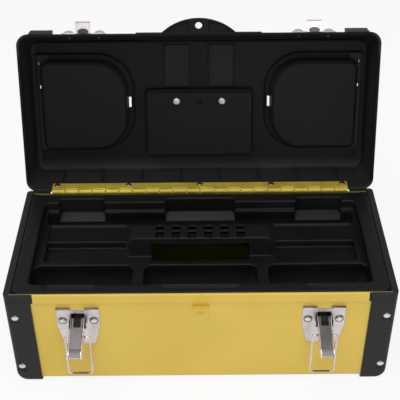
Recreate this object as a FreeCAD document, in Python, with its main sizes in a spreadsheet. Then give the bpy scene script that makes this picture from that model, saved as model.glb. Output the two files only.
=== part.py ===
import FreeCAD, Part
import math
import os
import re

import Sketcher

# A 360 mm tool box: a bent steel trough between two moulded end caps, a moulded lid on a
# continuous hinge, a lift-out tote tray, and two wire-bail draw latches.
# Frame: +X along the length, -Y the front with the latches, +Z up. The origin is on the floor,
# in the middle of the space that the box takes up as it rests: lid open and levers out. All is
# drawn about the middle of the bottom panel's underside and set down there at the end. The lid
# and what it carries are drawn closed and then swung open about the hinge pin.

SIZES = {
    # base, over the end caps
    "base_length": 360,
    "base_depth": 166,
    "base_height": 107,
    "open_middle": 19,
    "sheet_gauge": 0.8,
    "bend_radius": 4,
    "hem_height": 10,
    "hem_proud": 1.5,
    "hem_end_gap": 2.6,
    # moulded end caps
    "cap_skin": 2,
    "cap_wall": 2.6,
    "cap_lap": 24,
    "cap_draft": 2,
    "cap_foot_radius": 11,
    "cap_edge_radius": 4,
    "cap_band_depth": 0.7,
    "cap_rim_width": 6.5,
    "cap_rim_height": 9,
    "cap_ledge_reach": 7,
    "cap_ledge_height": 2.5,
    "cap_dimple_length": 9,
    "cap_dimple_height": 4,
    "cap_dimple_depth": 0.9,
    "fit_gap": 0.3,
    # rivets
    "rivet_shank": 3.2,
    "rivet_head": 6.6,
    "rivet_rise": 1.3,
    "rivet_tail": 4.6,
    "rivet_tail_length": 1.4,
    "rivet_play": 0.1,
    "cap_rivet_inset": 8.5,
    "cap_rivet_high": 80.5,
    "cap_rivet_low": 19,
    # continuous hinge
    "barrel_diameter": 5,
    "hinge_rise": 0.5,
    "pin_diameter": 2.4,
    "pin_play": 0.05,
    "knuckle_pitch": 14,
    "knuckle_pairs": 11,
    "knuckle_gap": 0.6,
    "leaf_gauge": 1,
    "leaf_reach": 14,
    "leaf_rivet_pitch": 74.5,
    "leaf_rivet_reach": 9.5,
    "lid_leaf_reach": 11.6,
    "lid_rivet_reach": 7.6,
    # lid
    "lid_open_angle": 104.5,
    "rim_gap": 0.4,
    "lid_depth": 165,
    "lid_height": 48,
    "lid_wall": 2.4,
    "lid_front_slope": 17,
    "lid_back_slope": 8,
    "lid_end_slope": 5,
    "lid_corner_radius": 12,
    "lid_top_radius": 6,
    "hinge_notch_height": 5,
    "lid_rib_pitch": 41.3,
    "lid_rib_width": 1.6,
    "lid_rib_depth": 3,
    "lid_rib_top": 40.8,
    "bumper_inner": 146,
    "bumper_outer": 168,
    "bumper_height": 20,
    "gusset_inner": 34,
    "gusset_outer": 62,
    "gusset_height": 5.5,
    "tab_half_width": 38,
    "tab_reach": 14.3,
    "tab_thickness": 4,
    "tab_border": 2.6,
    "tab_web": 10,
    "tab_hollow_depth": 1.8,
    "padlock_hole": 7,
    "padlock_reach": 7.2,
    # organiser wells and covers in the lid's top
    "well_inner": 77,
    "well_outer": 160,
    "well_half_width": 43.5,
    "well_centre": 83.5,
    "well_depth": 22,
    "well_round": 30,
    "well_outer_round": 5,
    "well_edge_round": 3,
    "recess_edge_round": 1.5,
    "rebate_width": 3.5,
    "rebate_depth": 2.2,
    "collar_width": 8.3,
    "cover_thickness": 2,
    "cover_gap": 0.5,
    "cover_axis_inset": 4.6,
    "cover_knuckle": 3.2,
    "cover_knuckle_length": 18,
    "cover_stub": 2,
    "cover_stub_length": 3,
    "cover_slot_length": 12,
    "cover_slot_width": 2.2,
    "hinge_slot_length": 3.6,
    "hinge_slot_far": 42.6,
    "hinge_slot_near": 17.4,
    # carry handle in the lid's top
    "recess_half_length": 53,
    "recess_front": 94.5,
    "recess_back": 30.5,
    "recess_depth": 15.6,
    "handle_pivot": 88,
    "handle_pivot_drop": 7,
    "handle_half_length": 51,
    "handle_arm_width": 9,
    "handle_thickness": 11,
    "handle_reach": 45,
    "handle_grip": 17,
    "rod_diameter": 5,
    "bracket_half_length": 32,
    "bracket_width": 11,
    "screw_spacing": 47,
    "screw_thread": 4,
    "screw_head": 8,
    "screw_head_height": 2.6,
    "screw_slot_width": 1.2,
    "screw_slot_length": 4.8,
    "screw_slot_depth": 1.2,
    "boss_diameter": 5,
    "boss_height": 1.5,
    "pad_inner": 10,
    "pad_outer": 36,
    "pad_height": 1.2,
    # padlock staple
    "staple_drop": 14,
    "staple_gauge": 1.6,
    "staple_ring": 14,
    "staple_flange": 11,
    # draw latches
    "latch_offset": 113.5,
    "plate_gauge": 1,
    "plate_half_width": 19.8,
    "plate_foot_half_width": 14.5,
    "plate_top": 15.5,
    "plate_notch": 19,
    "plate_shoulder": 38,
    "plate_foot": 60,
    "plate_slot_half": 3.4,
    "plate_rivet_offset": 14.5,
    "plate_rivet_drop": 31,
    "plate_lip": 2.4,
    "lever_width": 13,
    "lever_gauge": 1,
    "lever_length": 37.5,
    "lever_rest_angle": 72,
    "lever_pivot_drop": 31,
    "lever_pivot_out": 7,
    "lever_pin": 3,
    "ear_gauge": 1,
    "bail_pivot_drop": 42,
    "bail_pivot_out": 4,
    "bail_half_width": 11.2,
    "bail_wire": 2,
    "bail_bend": 4,
    "keeper_gauge": 1.2,
    "keeper_half_width": 21.5,
    "keeper_hook_half_width": 7.2,
    "keeper_height": 15,
    "keeper_reach": 11,
    "keeper_seat": 7.5,
    "keeper_rise": 0.8,
    "keeper_tip": 4.5,
    "keeper_rivet_offset": 14.5,
    # tote tray
    "tray_flange": 2.4,
    "tray_wall": 2,
    "tray_gap": 0.9,
    "tray_seat_gap": 0.2,
    "tray_back_gap": 3.5,
    "tray_corner_radius": 7,
    "tray_end_margin": 13.5,
    "tray_front_margin": 11.5,
    "tray_back_margin": 13.5,
    "deck_drop": 10,
    "trough_depth": 35,
    "trough_back": -28,
    "trough_round": 8,
    "ridge_inner": 54,
    "ridge_outer": 64,
    "rear_trough_front": 37,
    "rear_trough_end": 4,
    "land_front": 10.5,
    "land_inner": 73,
    "land_end_margin": 8,
    "land_drop": 2,
    "pocket_front": -22,
    "pocket_back": 8,
    "pocket_drop": 8,
    "scallop_mid": 36,
    "scallop_inner": 98,
    "scallop_outer": 145,
    "scallop_reach": 6.5,
    "scallop_drop": 17,
    "scallop_round": 4.5,
    "ledge_fall": 5,
    "ledge_out": 3,
    "grip_front": -15,
    "grip_width": 20.7,
    "grip_rise": 12.3,
    "grip_bar": 6.2,
    "grip_half_length": 69,
    "grip_leg": 22,
    "grip_round": 7,
    "grip_slot_pitch": 15.6,
    "grip_slot_width": 7.7,
    "grip_slot_front": 10.2,
    "grip_slot_back": 7,
    "grip_slot_depth": 5.2,
    "grip_rib": 1.5,
    "grip_edge": 0.9,
    "finger_front": -21,
}

# Places worked out from the sizes above.
PLACES = {
    "end_x": "base_length / 2",
    "foot_x": "base_length / 2 - cap_draft",
    "front_y": "base_depth / 2",
    "panel_y": "base_depth / 2 - cap_skin",
    "inside_y": "base_depth / 2 - cap_skin - sheet_gauge",
    "hinge_y": "base_depth / 2 - barrel_diameter / 2",
    "hinge_z": "base_height + hinge_rise",
    "hinge_half": "knuckle_pitch * knuckle_pairs",
    "lid_z": "base_height + rim_gap",
    "lid_top": "lid_z + lid_height",
    "lid_front": "hinge_y - lid_depth",
    "lid_slant_wall": "lid_wall / cos(lid_back_slope)",
    "cap_edge_x": "base_length / 2 - cap_lap",
    "hem_half": "cap_edge_x - hem_end_gap",
    "rivet_hole": "rivet_shank + 2 * rivet_play",
    "back_top": "hinge_z - barrel_diameter / 2 - fit_gap",
    "padlock_y": "lid_front - padlock_reach",
    "keeper_rivet_height": "keeper_height * 0.6",
    "hem_round": "hem_proud * 0.8",
    "leaf_bend_reach": "barrel_diameter * 0.75",
    "ear_half_height": "lever_pin * 1.2",
    "ear_knob": "lever_pin * 2.4",
    "lever_web_out": "lever_pin * 1.3",
    "lever_tip_lift": "lever_gauge * 2.5",
    "lever_bend_at": "lever_length * 0.72",
    "lever_crown": "lever_pin * 1.6",
    "lever_crown_in": "lever_pin * 0.8",
    "lever_bend_depth": "lever_gauge * 3.5",
    "lever_web_cut": "lever_gauge * 1.5",
    "lever_pin_head": "lever_pin * 1.5",
    "bail_eye": "bail_wire * 1.2",
    "bail_hook_in": "lever_gauge * 1.7",
    "tab_hollow_reach": "tab_reach * 0.62",
    "tab_hollow_half": "tab_half_width * 0.62",
    "tab_hollow_root": "tab_border * 0.4",
    "tab_hollow_corner": "tab_border * 2.4",
    "tab_hollow_edge": "tab_border * 1.3",
    "screw_head_round": "screw_head_height * 0.6",
    "lever_y": "-panel_y - lever_pivot_out",
    "lever_z": "base_height - lever_pivot_drop",
    "bail_y": "-panel_y - bail_pivot_out",
    "bail_z": "base_height - bail_pivot_drop",
    "shelf_low": "lid_z + keeper_rise",
    "shelf_top": "shelf_low + keeper_gauge",
    "hooked_y": "lid_front - keeper_seat",
    "hooked_z": "shelf_top + bail_wire / 2 + fit_gap",
    "bail_length": "sqrt((hooked_y - bail_y) ^ 2 + (hooked_z - bail_z) ^ 2)",
    "well_y": "hinge_y - well_centre",
    "well_floor": "lid_top - well_depth",
    "cover_axis_x": "well_outer + cover_axis_inset",
    "cover_axis_z": "lid_top - cover_knuckle / 2 - cover_gap / 2",
    "cover_reach": "cover_axis_x + cover_knuckle / 2 + cover_gap",
    "pivot_y": "hinge_y - handle_pivot",
    "pivot_z": "lid_top - handle_pivot_drop",
    "recess_floor": "lid_top - recess_depth",
    "recess_front_y": "hinge_y - recess_front",
    "recess_back_y": "hinge_y - recess_back",
    "tray_z": "base_height + tray_seat_gap",
    "tray_end": "end_x - cap_rim_width - tray_gap",
    "tray_front": "-inside_y + tray_gap",
    "tray_back": "hinge_y - barrel_diameter / 2 - tray_back_gap",
    "tub_end": "tray_end - tray_end_margin",
    "tub_front": "tray_front + tray_front_margin",
    "tub_back": "tray_back - tray_back_margin",
    "deck_z": "tray_z - deck_drop",
    "floor_z": "tray_z - trough_depth",
}

doc = FreeCAD.newDocument("tool_box")
sheet = doc.addObject("Spreadsheet::Sheet", "sheet")
for row, (alias, number) in enumerate(SIZES.items(), start=1):
    sheet.set(f"A{row}", alias)
    sheet.set(f"B{row}", str(number))
    sheet.setAlias(f"B{row}", alias)
doc.recompute()


def bound(text):
    """The expression that a length in words stands for, down to the sheet's own cells."""

    def cell(match):
        word = match.group()
        if word in PLACES:
            return "(" + bound(PLACES[word]) + ")"
        return "sheet." + word if word in SIZES else word

    return re.sub(r"[a-z][a-z_]*", cell, str(text))


def value(text):
    """The number that a length in words has now."""
    return float(sheet.evalExpression(bound(text)))


def new_body(label):
    """An empty body that becomes one node of the assembly."""
    body = doc.addObject("PartDesign::Body", label)
    body.Label = label
    return body


def polygon(*corners):
    """A straight-sided outline through corners given as pairs of lengths."""
    return [(a, b, None) for a, b in corners]


def box(a0, b0, a1, b1, radius=None, radii=None):
    """An upright rectangle, with one corner radius or four (from a0 b0, on round by a1 b0)."""
    radii = radii or [radius] * 4
    corners = ((a0, b0), (a1, b0), (a1, b1), (a0, b1))
    return [(a, b, r) for (a, b), r in zip(corners, radii)]


def disc(a, b, diameter):
    """A circle about a point."""
    return (a, b, diameter)


def draw_disc(sketch, outline):
    """Draws a circle whose centre and diameter follow the sheet."""
    a, b, diameter = outline
    centre = FreeCAD.Vector(value(a), value(b), 0)
    ring = Part.Circle(centre, FreeCAD.Vector(0, 0, 1), value(diameter) / 2)
    index = sketch.addGeometry(ring)
    tie(sketch, "DistanceX", (-1, 1, index, 3), a)
    tie(sketch, "DistanceY", (-1, 1, index, 3), b)
    tie(sketch, "Diameter", (index,), diameter)


def tie(sketch, kind, elements, length):
    """Adds one dimension to a sketch and binds it to the sheet."""
    index = sketch.addConstraint(Sketcher.Constraint(kind, *elements, value(length)))
    sketch.setExpression(f"Constraints[{index}]", bound(length))


def draw_polygon(sketch, outline):
    """Draws a closed outline whose corners, and any corner arcs, follow the sheet."""
    stops = []
    for here, (a, b, radius) in enumerate(outline):
        before = outline[here - 1]
        after = outline[(here + 1) % len(outline)]
        if radius is None:
            stops.append([(a, b)])
            continue
        pair = []
        for other in (before, after):
            da = value(other[0]) - value(a)
            db = value(other[1]) - value(b)
            sign_a = (da > 1e-6) - (da < -1e-6)
            sign_b = (db > 1e-6) - (db < -1e-6)
            pair.append((f"{a} + {sign_a} * ({radius})", f"{b} + {sign_b} * ({radius})"))
        stops.append(pair)
    lines = []
    for here, ends in enumerate(stops):
        start = ends[-1]
        finish = stops[(here + 1) % len(stops)][0]
        points = [FreeCAD.Vector(value(a), value(b), 0) for a, b in (start, finish)]
        index = sketch.addGeometry(Part.LineSegment(*points))
        lines.append(index)
        for position, (a, b) in ((1, start), (2, finish)):
            if position == 2 and outline[(here + 1) % len(outline)][2] is None:
                continue
            tie(sketch, "DistanceX", (-1, 1, index, position), a)
            tie(sketch, "DistanceY", (-1, 1, index, position), b)
    for here, (a, b, radius) in enumerate(outline):
        before = lines[here - 1]
        after = lines[here]
        if radius is None:
            sketch.addConstraint(Sketcher.Constraint("Coincident", before, 2, after, 1))
            continue
        draw_corner(sketch, before, after, stops[here], (a, b), radius)


def draw_corner(sketch, before, after, ends, corner, radius):
    """Draws the quarter round between two lines of an upright rectangle."""
    first, last = (FreeCAD.Vector(value(a), value(b), 0) for a, b in ends)
    tip = FreeCAD.Vector(value(corner[0]), value(corner[1]), 0)
    centre = first + last - tip
    spokes = [first - centre, last - centre]
    forward = spokes[0].cross(spokes[1]).z > 0
    begin = spokes[0] if forward else spokes[1]
    angle = math.atan2(begin.y, begin.x)
    ring = Part.Circle(centre, FreeCAD.Vector(0, 0, 1), value(radius))
    index = sketch.addGeometry(Part.ArcOfCircle(ring, angle, angle + math.pi / 2))
    near, far = (1, 2) if forward else (2, 1)
    sketch.addConstraint(Sketcher.Constraint("Coincident", before, 2, index, near))
    sketch.addConstraint(Sketcher.Constraint("Coincident", after, 1, index, far))
    tie(sketch, "Radius", (index,), radius)


PLANES = {"X": "YZ_Plane", "Y": "XZ_Plane", "Z": "XY_Plane"}


def new_sketch(body, axis, offset, slope=None):
    """A sketch square to an axis of the body, or on a wall that leans back from upright.

    slope is the wall's foot in Y and Z and its lean in degrees; offset then counts from it.
    """
    plane = next(f for f in body.Origin.OriginFeatures if f.Role == PLANES[axis])
    sketch = body.newObject("Sketcher::SketchObject", "sketch")
    sketch.AttachmentSupport = (plane, [""])
    sketch.MapMode = "FlatFace"
    if slope is None:
        sketch.setExpression("AttachmentOffset.Base.z", bound(offset))
        return sketch
    foot_y, foot_z, lean = slope
    up = bound(f"{foot_z} - ({offset}) * sin({lean})")
    out = bound(f"({offset}) * cos({lean}) - ({foot_y})")
    turn = f"rotation(vector(1; 0; 0); {bound(lean)})"
    sketch.setExpression("AttachmentOffset", f"placement(vector(0; {up}; {out}); {turn})")
    return sketch


def prism(body, axis, outlines, low, high, cut=False, slope=None):
    """Adds, or cuts, outlines carried along an axis from low to high, both lengths in words.

    The outline's pairs are Y and Z along X, X and Z along Y, and X and Y along Z. On a sloped
    wall they are X and the distance up the wall, and low and high are heights off the wall.
    """
    offset = f"-({high})" if axis == "Y" and slope is None else low
    sketch = new_sketch(body, axis, offset, slope)
    for outline in outlines:
        if isinstance(outline, tuple):
            draw_disc(sketch, outline)
        else:
            draw_polygon(sketch, outline)
    kind = "Pocket" if cut else "Pad"
    feature = body.newObject(f"PartDesign::{kind}", kind.lower())
    feature.Profile = sketch
    feature.Reversed = cut
    feature.setExpression("Length", bound(f"({high}) - ({low})"))
    return feature


def soften(body, radius, chosen):
    """Rounds the edges of a body that a test picks by their place."""
    doc.recompute()
    base = body.Tip
    names = [f"Edge{n}" for n, edge in enumerate(base.Shape.Edges, start=1) if chosen(edge)]
    fillet = body.newObject("PartDesign::Fillet", "fillet")
    fillet.Base = (base, names)
    fillet.setExpression("Radius", bound(radius))
    return fillet


def spans(edge, axis):
    """The lowest and highest place of an edge along one axis."""
    limits = edge.BoundBox
    return getattr(limits, axis + "Min"), getattr(limits, axis + "Max")


def lies_at(edge, axis, length, slack=0.01):
    """Whether a whole edge lies in the plane where one coordinate has a given length."""
    low, high = spans(edge, axis)
    place = value(length)
    return abs(low - place) < slack and abs(high - place) < slack


def turned(angle, y, z):
    """A placement that turns about a line along X, through Y and Z, by an angle in degrees."""
    turn = f"rotation(vector(1; 0; 0); {bound(angle)})"
    return f"placement(vector(0; 0; 0); {turn}; vector(0; {bound(y)}; {bound(z)}))"


poses = {}


def swing_open(node, first=None):
    """Turns a node that is drawn with the lid closed to where it is with the lid open."""
    opened = turned("-lid_open_angle", "hinge_y", "hinge_z")
    poses[node.Label] = opened if first is None else f"{opened} * {first}"


def set_down(node):
    """Puts a node in its resting pose, and moves it from the drawing's middle to the frame's."""
    shift = f"vector(0; -({bound('open_middle')}); {bound('cap_skin')})"
    stay = "rotation(vector(1; 0; 0); 0)"
    pose = poses.get(node.Label)
    moved = f"placement({shift}; {stay})"
    node.setExpression("Placement", moved if pose is None else f"{moved} * {pose}")


def rivet(name, grip, place, turn):
    """One domed rivet: its head stands on the origin's +Z side, and turn tips it about X."""
    head = doc.addObject("Part::Ellipsoid", name + "_head")
    head.Angle1 = 0
    head.setExpression("Radius1", bound("rivet_rise"))
    head.setExpression("Radius2", bound("rivet_head / 2"))
    head.setExpression("Radius3", bound("rivet_head / 2"))
    shank = doc.addObject("Part::Cylinder", name + "_shank")
    shank.setExpression("Radius", bound("rivet_shank / 2"))
    shank.setExpression("Height", bound(f"{grip} + rivet_tail_length / 2"))
    shank.setExpression("Placement.Base.z", bound(f"-({grip}) - rivet_tail_length / 2"))
    tail = doc.addObject("Part::Cylinder", name + "_tail")
    tail.setExpression("Radius", bound("rivet_tail / 2"))
    tail.setExpression("Height", bound("rivet_tail_length"))
    tail.setExpression("Placement.Base.z", bound(f"-({grip}) - rivet_tail_length"))
    whole = doc.addObject("Part::MultiFuse", name)
    whole.Shapes = [head, shank, tail]
    spin = f"rotation(vector(1; 0; 0); {bound(turn)})"
    where = "; ".join(bound(length) for length in place)
    whole.setExpression("Placement", f"placement(vector({where}); {spin})")
    return whole


def group(label, members):
    """Like fasteners kept together as one node of separate solids."""
    node = doc.addObject("Part::Compound", label)
    node.Label = label
    node.Links = members
    return node


SIDES = {"left": -1, "right": 1}
BACK_WALL = ("hinge_y", "lid_z", "lid_back_slope")
FRONT_WALL = ("lid_front", "lid_z", "-lid_front_slope")
LEAF_RIVETS = range(-2, 3)


def wall_point(wall, up, out):
    """Y and Z of a point on a sloped wall, from its distance up the wall and off it."""
    foot_y, foot_z, lean = wall
    y = f"({foot_y}) - ({up}) * sin({lean}) - ({out}) * cos({lean})"
    z = f"({foot_z}) + ({up}) * cos({lean}) - ({out}) * sin({lean})"
    return y, z


def cap_rivet_places():
    """X and Z of the rivets through the end caps' flanges, the same on the front and the back."""
    for sign in SIDES.values():
        for height in ("cap_rivet_high", "cap_rivet_low"):
            yield f"{sign} * (end_x - cap_rivet_inset)", height


def latch_rivet_places():
    """X and Z of the rivets through the latch plates."""
    for sign in SIDES.values():
        for hand in SIDES.values():
            x = f"{sign} * latch_offset + {hand} * plate_rivet_offset"
            yield x, "base_height - plate_rivet_drop"


def make_base_shell():
    """The yellow trough: one sheet bent up at the front and back, hemmed along the front."""
    body = new_body("base_shell")
    top_x = "end_x - cap_wall - fit_gap"
    low_x = "foot_x - cap_wall - fit_gap"
    side = polygon(
        (f"-({top_x})", "base_height"),
        (f"-({low_x})", "0"),
        (low_x, "0"),
        (top_x, "base_height"),
    )
    prism(body, "Y", [side], "-panel_y", "panel_y")
    soften(
        body,
        "cap_foot_radius - cap_wall",
        lambda e: lies_at(e, "Z", "0") and e.BoundBox.YLength > value("panel_y"),
    )
    soften(
        body,
        "bend_radius",
        lambda e: lies_at(e, "Z", "0") and e.BoundBox.XLength > value("end_x"),
    )
    hollow = box(
        "-inside_y",
        "sheet_gauge",
        "inside_y",
        "base_height + cap_skin",
        radii=["bend_radius - sheet_gauge", "bend_radius - sheet_gauge", None, None],
    )
    prism(body, "X", [hollow], "-base_length", "base_length", cut=True)
    back = box("-base_length", "back_top", "base_length", "base_height + cap_skin")
    prism(body, "Y", [back], "0", "base_depth", cut=True)
    fold = box(
        "-panel_y - hem_proud",
        "base_height - hem_height",
        "-panel_y",
        "base_height",
        radii=[None, None, None, "hem_round"],
    )
    prism(body, "X", [fold], "-hem_half", "hem_half")
    holes = [disc(x, z, "rivet_hole") for x, z in cap_rivet_places()]
    prism(body, "Y", holes, "-base_depth", "base_depth", cut=True)
    holes = [disc(x, z, "rivet_hole") for x, z in latch_rivet_places()]
    prism(body, "Y", holes, "-base_depth", "0", cut=True)
    holes = [
        disc(f"{n} * leaf_rivet_pitch", "hinge_z - leaf_rivet_reach", "rivet_hole")
        for n in LEAF_RIVETS
    ]
    prism(body, "Y", holes, "0", "base_depth", cut=True)
    slot = box(
        "-staple_ring / 2 - rivet_play",
        "base_height - staple_drop - staple_gauge - rivet_play",
        "staple_ring / 2 + rivet_play",
        "base_height - staple_drop + rivet_play",
    )
    prism(body, "Y", [slot], "-base_depth", "0", cut=True)
    return body


def make_staple():
    """The padlock ring: a tongue through the front panel, turned down and welded inside."""
    body = new_body("padlock_staple")
    low = "base_height - staple_drop - staple_gauge"
    high = "base_height - staple_drop"
    tongue = box("-staple_ring / 2", "padlock_y", "staple_ring / 2", "-inside_y + staple_gauge")
    prism(body, "Z", [tongue], low, high)
    prism(body, "Z", [disc("0", "padlock_y", "staple_ring")], low, high)
    flange = box("-staple_ring / 2", f"{high} - staple_flange", "staple_ring / 2", high)
    prism(body, "Y", [flange], "-inside_y", "-inside_y + staple_gauge")
    prism(body, "Z", [disc("0", "padlock_y", "padlock_hole")], low, high, cut=True)
    return body


def make_end_cap(side):
    """A moulded end: skins lapped over the sheet, a wide rim, and a ledge for the tray."""
    sign = SIDES[side]
    body = new_body(f"end_cap_{side}")
    block = polygon(
        (f"{sign} * cap_edge_x", "base_height"),
        (f"{sign} * (cap_edge_x - cap_draft)", "-cap_skin"),
        (f"{sign} * foot_x", "-cap_skin"),
        (f"{sign} * end_x", "base_height"),
    )
    prism(body, "Y", [block], "-front_y", "front_y")
    hollow = polygon(
        (f"{sign} * (cap_edge_x - cap_lap)", "base_height + cap_skin"),
        (f"{sign} * (cap_edge_x - cap_lap)", "0"),
        (f"{sign} * (foot_x - cap_wall)", "0"),
        (f"{sign} * (end_x - cap_wall)", "base_height + cap_skin"),
    )
    prism(body, "Y", [hollow], "-panel_y", "panel_y", cut=True)
    soften(
        body,
        "cap_foot_radius - cap_wall",
        lambda e: lies_at(e, "Z", "0") and lies_at(e, "X", f"{sign} * (foot_x - cap_wall)"),
    )
    soften(
        body,
        "cap_foot_radius",
        lambda e: lies_at(e, "Z", "-cap_skin") and lies_at(e, "X", f"{sign} * foot_x"),
    )
    inner = value("cap_edge_x")
    soften(
        body,
        "cap_edge_radius",
        lambda e: (lies_at(e, "Y", "front_y") or lies_at(e, "Y", "-front_y"))
        and spans(e, "Z")[0] < value("base_height / 2")
        and sign * e.CenterOfMass.x > inner,
    )
    rim_y = "inside_y - fit_gap"
    rim = box(
        f"{sign} * (end_x - cap_rim_width)",
        f"-({rim_y})",
        f"{sign} * (end_x - cap_wall / 2)",
        rim_y,
    )
    prism(body, "Z", [rim], "base_height - cap_rim_height", "base_height")
    ledge = box(
        f"{sign} * (end_x - cap_rim_width - cap_ledge_reach)",
        f"-({rim_y})",
        f"{sign} * (end_x - cap_wall / 2)",
        rim_y,
    )
    ledge_top = "base_height - tray_flange"
    prism(body, "Z", [ledge], f"{ledge_top} - cap_ledge_height", ledge_top)
    stop = box(
        f"{sign} * (hem_half + fit_gap)",
        "base_height - hem_height",
        f"{sign} * (cap_edge_x + cap_wall)",
        "base_height",
    )
    prism(body, "Y", [stop], "-panel_y - cap_skin / 2", "-panel_y")
    band = box(
        f"{sign} * (cap_edge_x - cap_wall)",
        "base_height - hem_height",
        f"{sign} * (end_x - cap_edge_radius)",
        "base_height + cap_skin",
    )
    prism(body, "Y", [band], "-front_y", "-front_y + cap_band_depth", cut=True)
    holes = [disc(x, z, "rivet_hole") for x, z in cap_rivet_places() if x.startswith(f"{sign} ")]
    prism(body, "Y", holes, "-base_depth", "base_depth", cut=True)
    dimples = []
    for x, z in cap_rivet_places():
        if x.startswith(f"{sign} "):
            top = f"{z} - rivet_head / 2 - fit_gap"
            left = f"{x} - cap_dimple_length / 2"
            right = f"{x} + cap_dimple_length / 2"
            foot = f"{top} - cap_dimple_height"
            dimples.append(box(left, foot, right, top, "cap_dimple_height / 3"))
    for low, high in (
        ("-front_y", "-front_y + cap_dimple_depth"),
        ("front_y - cap_dimple_depth", "front_y"),
    ):
        prism(body, "Y", dimples, low, high, cut=True)
    return body


def make_cap_rivets():
    """Two rivets through each flange of each cap."""
    members = []
    for face, turn in ((-1, 90), (1, -90)):
        for x, z in cap_rivet_places():
            place = (x, f"{face} * front_y", z)
            members.append(rivet("cap_rivet", "cap_skin + sheet_gauge", place, turn))
    return group("cap_rivets", members)


def knuckles(first):
    """Every other knuckle of the hinge, starting from the first or the second."""
    for n in range(int(value("knuckle_pairs"))):
        start = f"-hinge_half + {2 * n + first} * knuckle_pitch"
        yield f"{start} + knuckle_gap / 2", f"{start} + knuckle_pitch - knuckle_gap / 2"


def make_base_leaf():
    """The hinge leaf that is riveted inside the back panel, with its own knuckles."""
    body = new_body("hinge_base_leaf")
    inner = "inside_y - leaf_gauge"
    leaf = box("-hinge_half", "hinge_z - leaf_reach", "hinge_half", "back_top - fit_gap")
    prism(body, "Y", [leaf], inner, "inside_y")
    neck = box(inner, "back_top - 2 * fit_gap", "inside_y", "hinge_z")
    for low, high in knuckles(0):
        prism(body, "X", [neck], low, high)
        prism(body, "X", [disc("hinge_y", "hinge_z", "barrel_diameter")], low, high)
    bore = disc("hinge_y", "hinge_z", "pin_diameter + 2 * pin_play")
    prism(body, "X", [bore], "-base_length", "base_length", cut=True)
    holes = [
        disc(f"{n} * leaf_rivet_pitch", "hinge_z - leaf_rivet_reach", "rivet_hole")
        for n in LEAF_RIVETS
    ]
    prism(body, "Y", holes, "0", "base_depth", cut=True)
    return body


def make_lid_leaf():
    """The hinge leaf that is riveted inside the lid's back wall."""
    body = new_body("hinge_lid_leaf")
    leaf_low = "hinge_z - lid_z + knuckle_gap * 2"
    leaf = box("-hinge_half", leaf_low, "hinge_half", "lid_leaf_reach")
    prism(body, "Y", [leaf], "lid_wall", "lid_wall + leaf_gauge", slope=BACK_WALL)
    neck = polygon(
        wall_point(BACK_WALL, leaf_low, "lid_wall + leaf_gauge / 2"),
        ("hinge_y - barrel_diameter / 4", "hinge_z"),
        ("hinge_y", "hinge_z + barrel_diameter / 2 - fit_gap / 2"),
        wall_point(BACK_WALL, "leaf_bend_reach", "lid_wall + leaf_gauge / 2"),
    )
    for low, high in knuckles(1):
        prism(body, "X", [neck], low, high)
        prism(body, "X", [disc("hinge_y", "hinge_z", "barrel_diameter")], low, high)
    bore = disc("hinge_y", "hinge_z", "pin_diameter + 2 * pin_play")
    prism(body, "X", [bore], "-base_length", "base_length", cut=True)
    holes = [disc(f"{n} * leaf_rivet_pitch", "lid_rivet_reach", "rivet_hole") for n in LEAF_RIVETS]
    prism(body, "Y", holes, "-lid_wall", "lid_wall + 2 * leaf_gauge", cut=True, slope=BACK_WALL)
    swing_open(body)
    return body


def make_hinge_pin():
    """The wire that runs through every knuckle."""
    body = new_body("hinge_pin")
    wire = disc("hinge_y", "hinge_z", "pin_diameter")
    prism(body, "X", [wire], "-hinge_half", "hinge_half")
    return body


def make_leaf_rivets():
    """The rivets of the two hinge leaves."""
    base = []
    lid = []
    for n in LEAF_RIVETS:
        x = f"{n} * leaf_rivet_pitch"
        place = (x, "panel_y", "hinge_z - leaf_rivet_reach")
        base.append(rivet("base_leaf_rivet", "sheet_gauge + leaf_gauge", place, -90))
        y, z = wall_point(BACK_WALL, "lid_rivet_reach", "lid_wall + leaf_gauge")
        grip = "lid_wall + leaf_gauge"
        lid.append(rivet("lid_leaf_rivet", grip, (x, y, z), "90 + lid_back_slope"))
    swing_open(group("hinge_lid_rivets", lid))
    return group("hinge_base_rivets", base)


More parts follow.
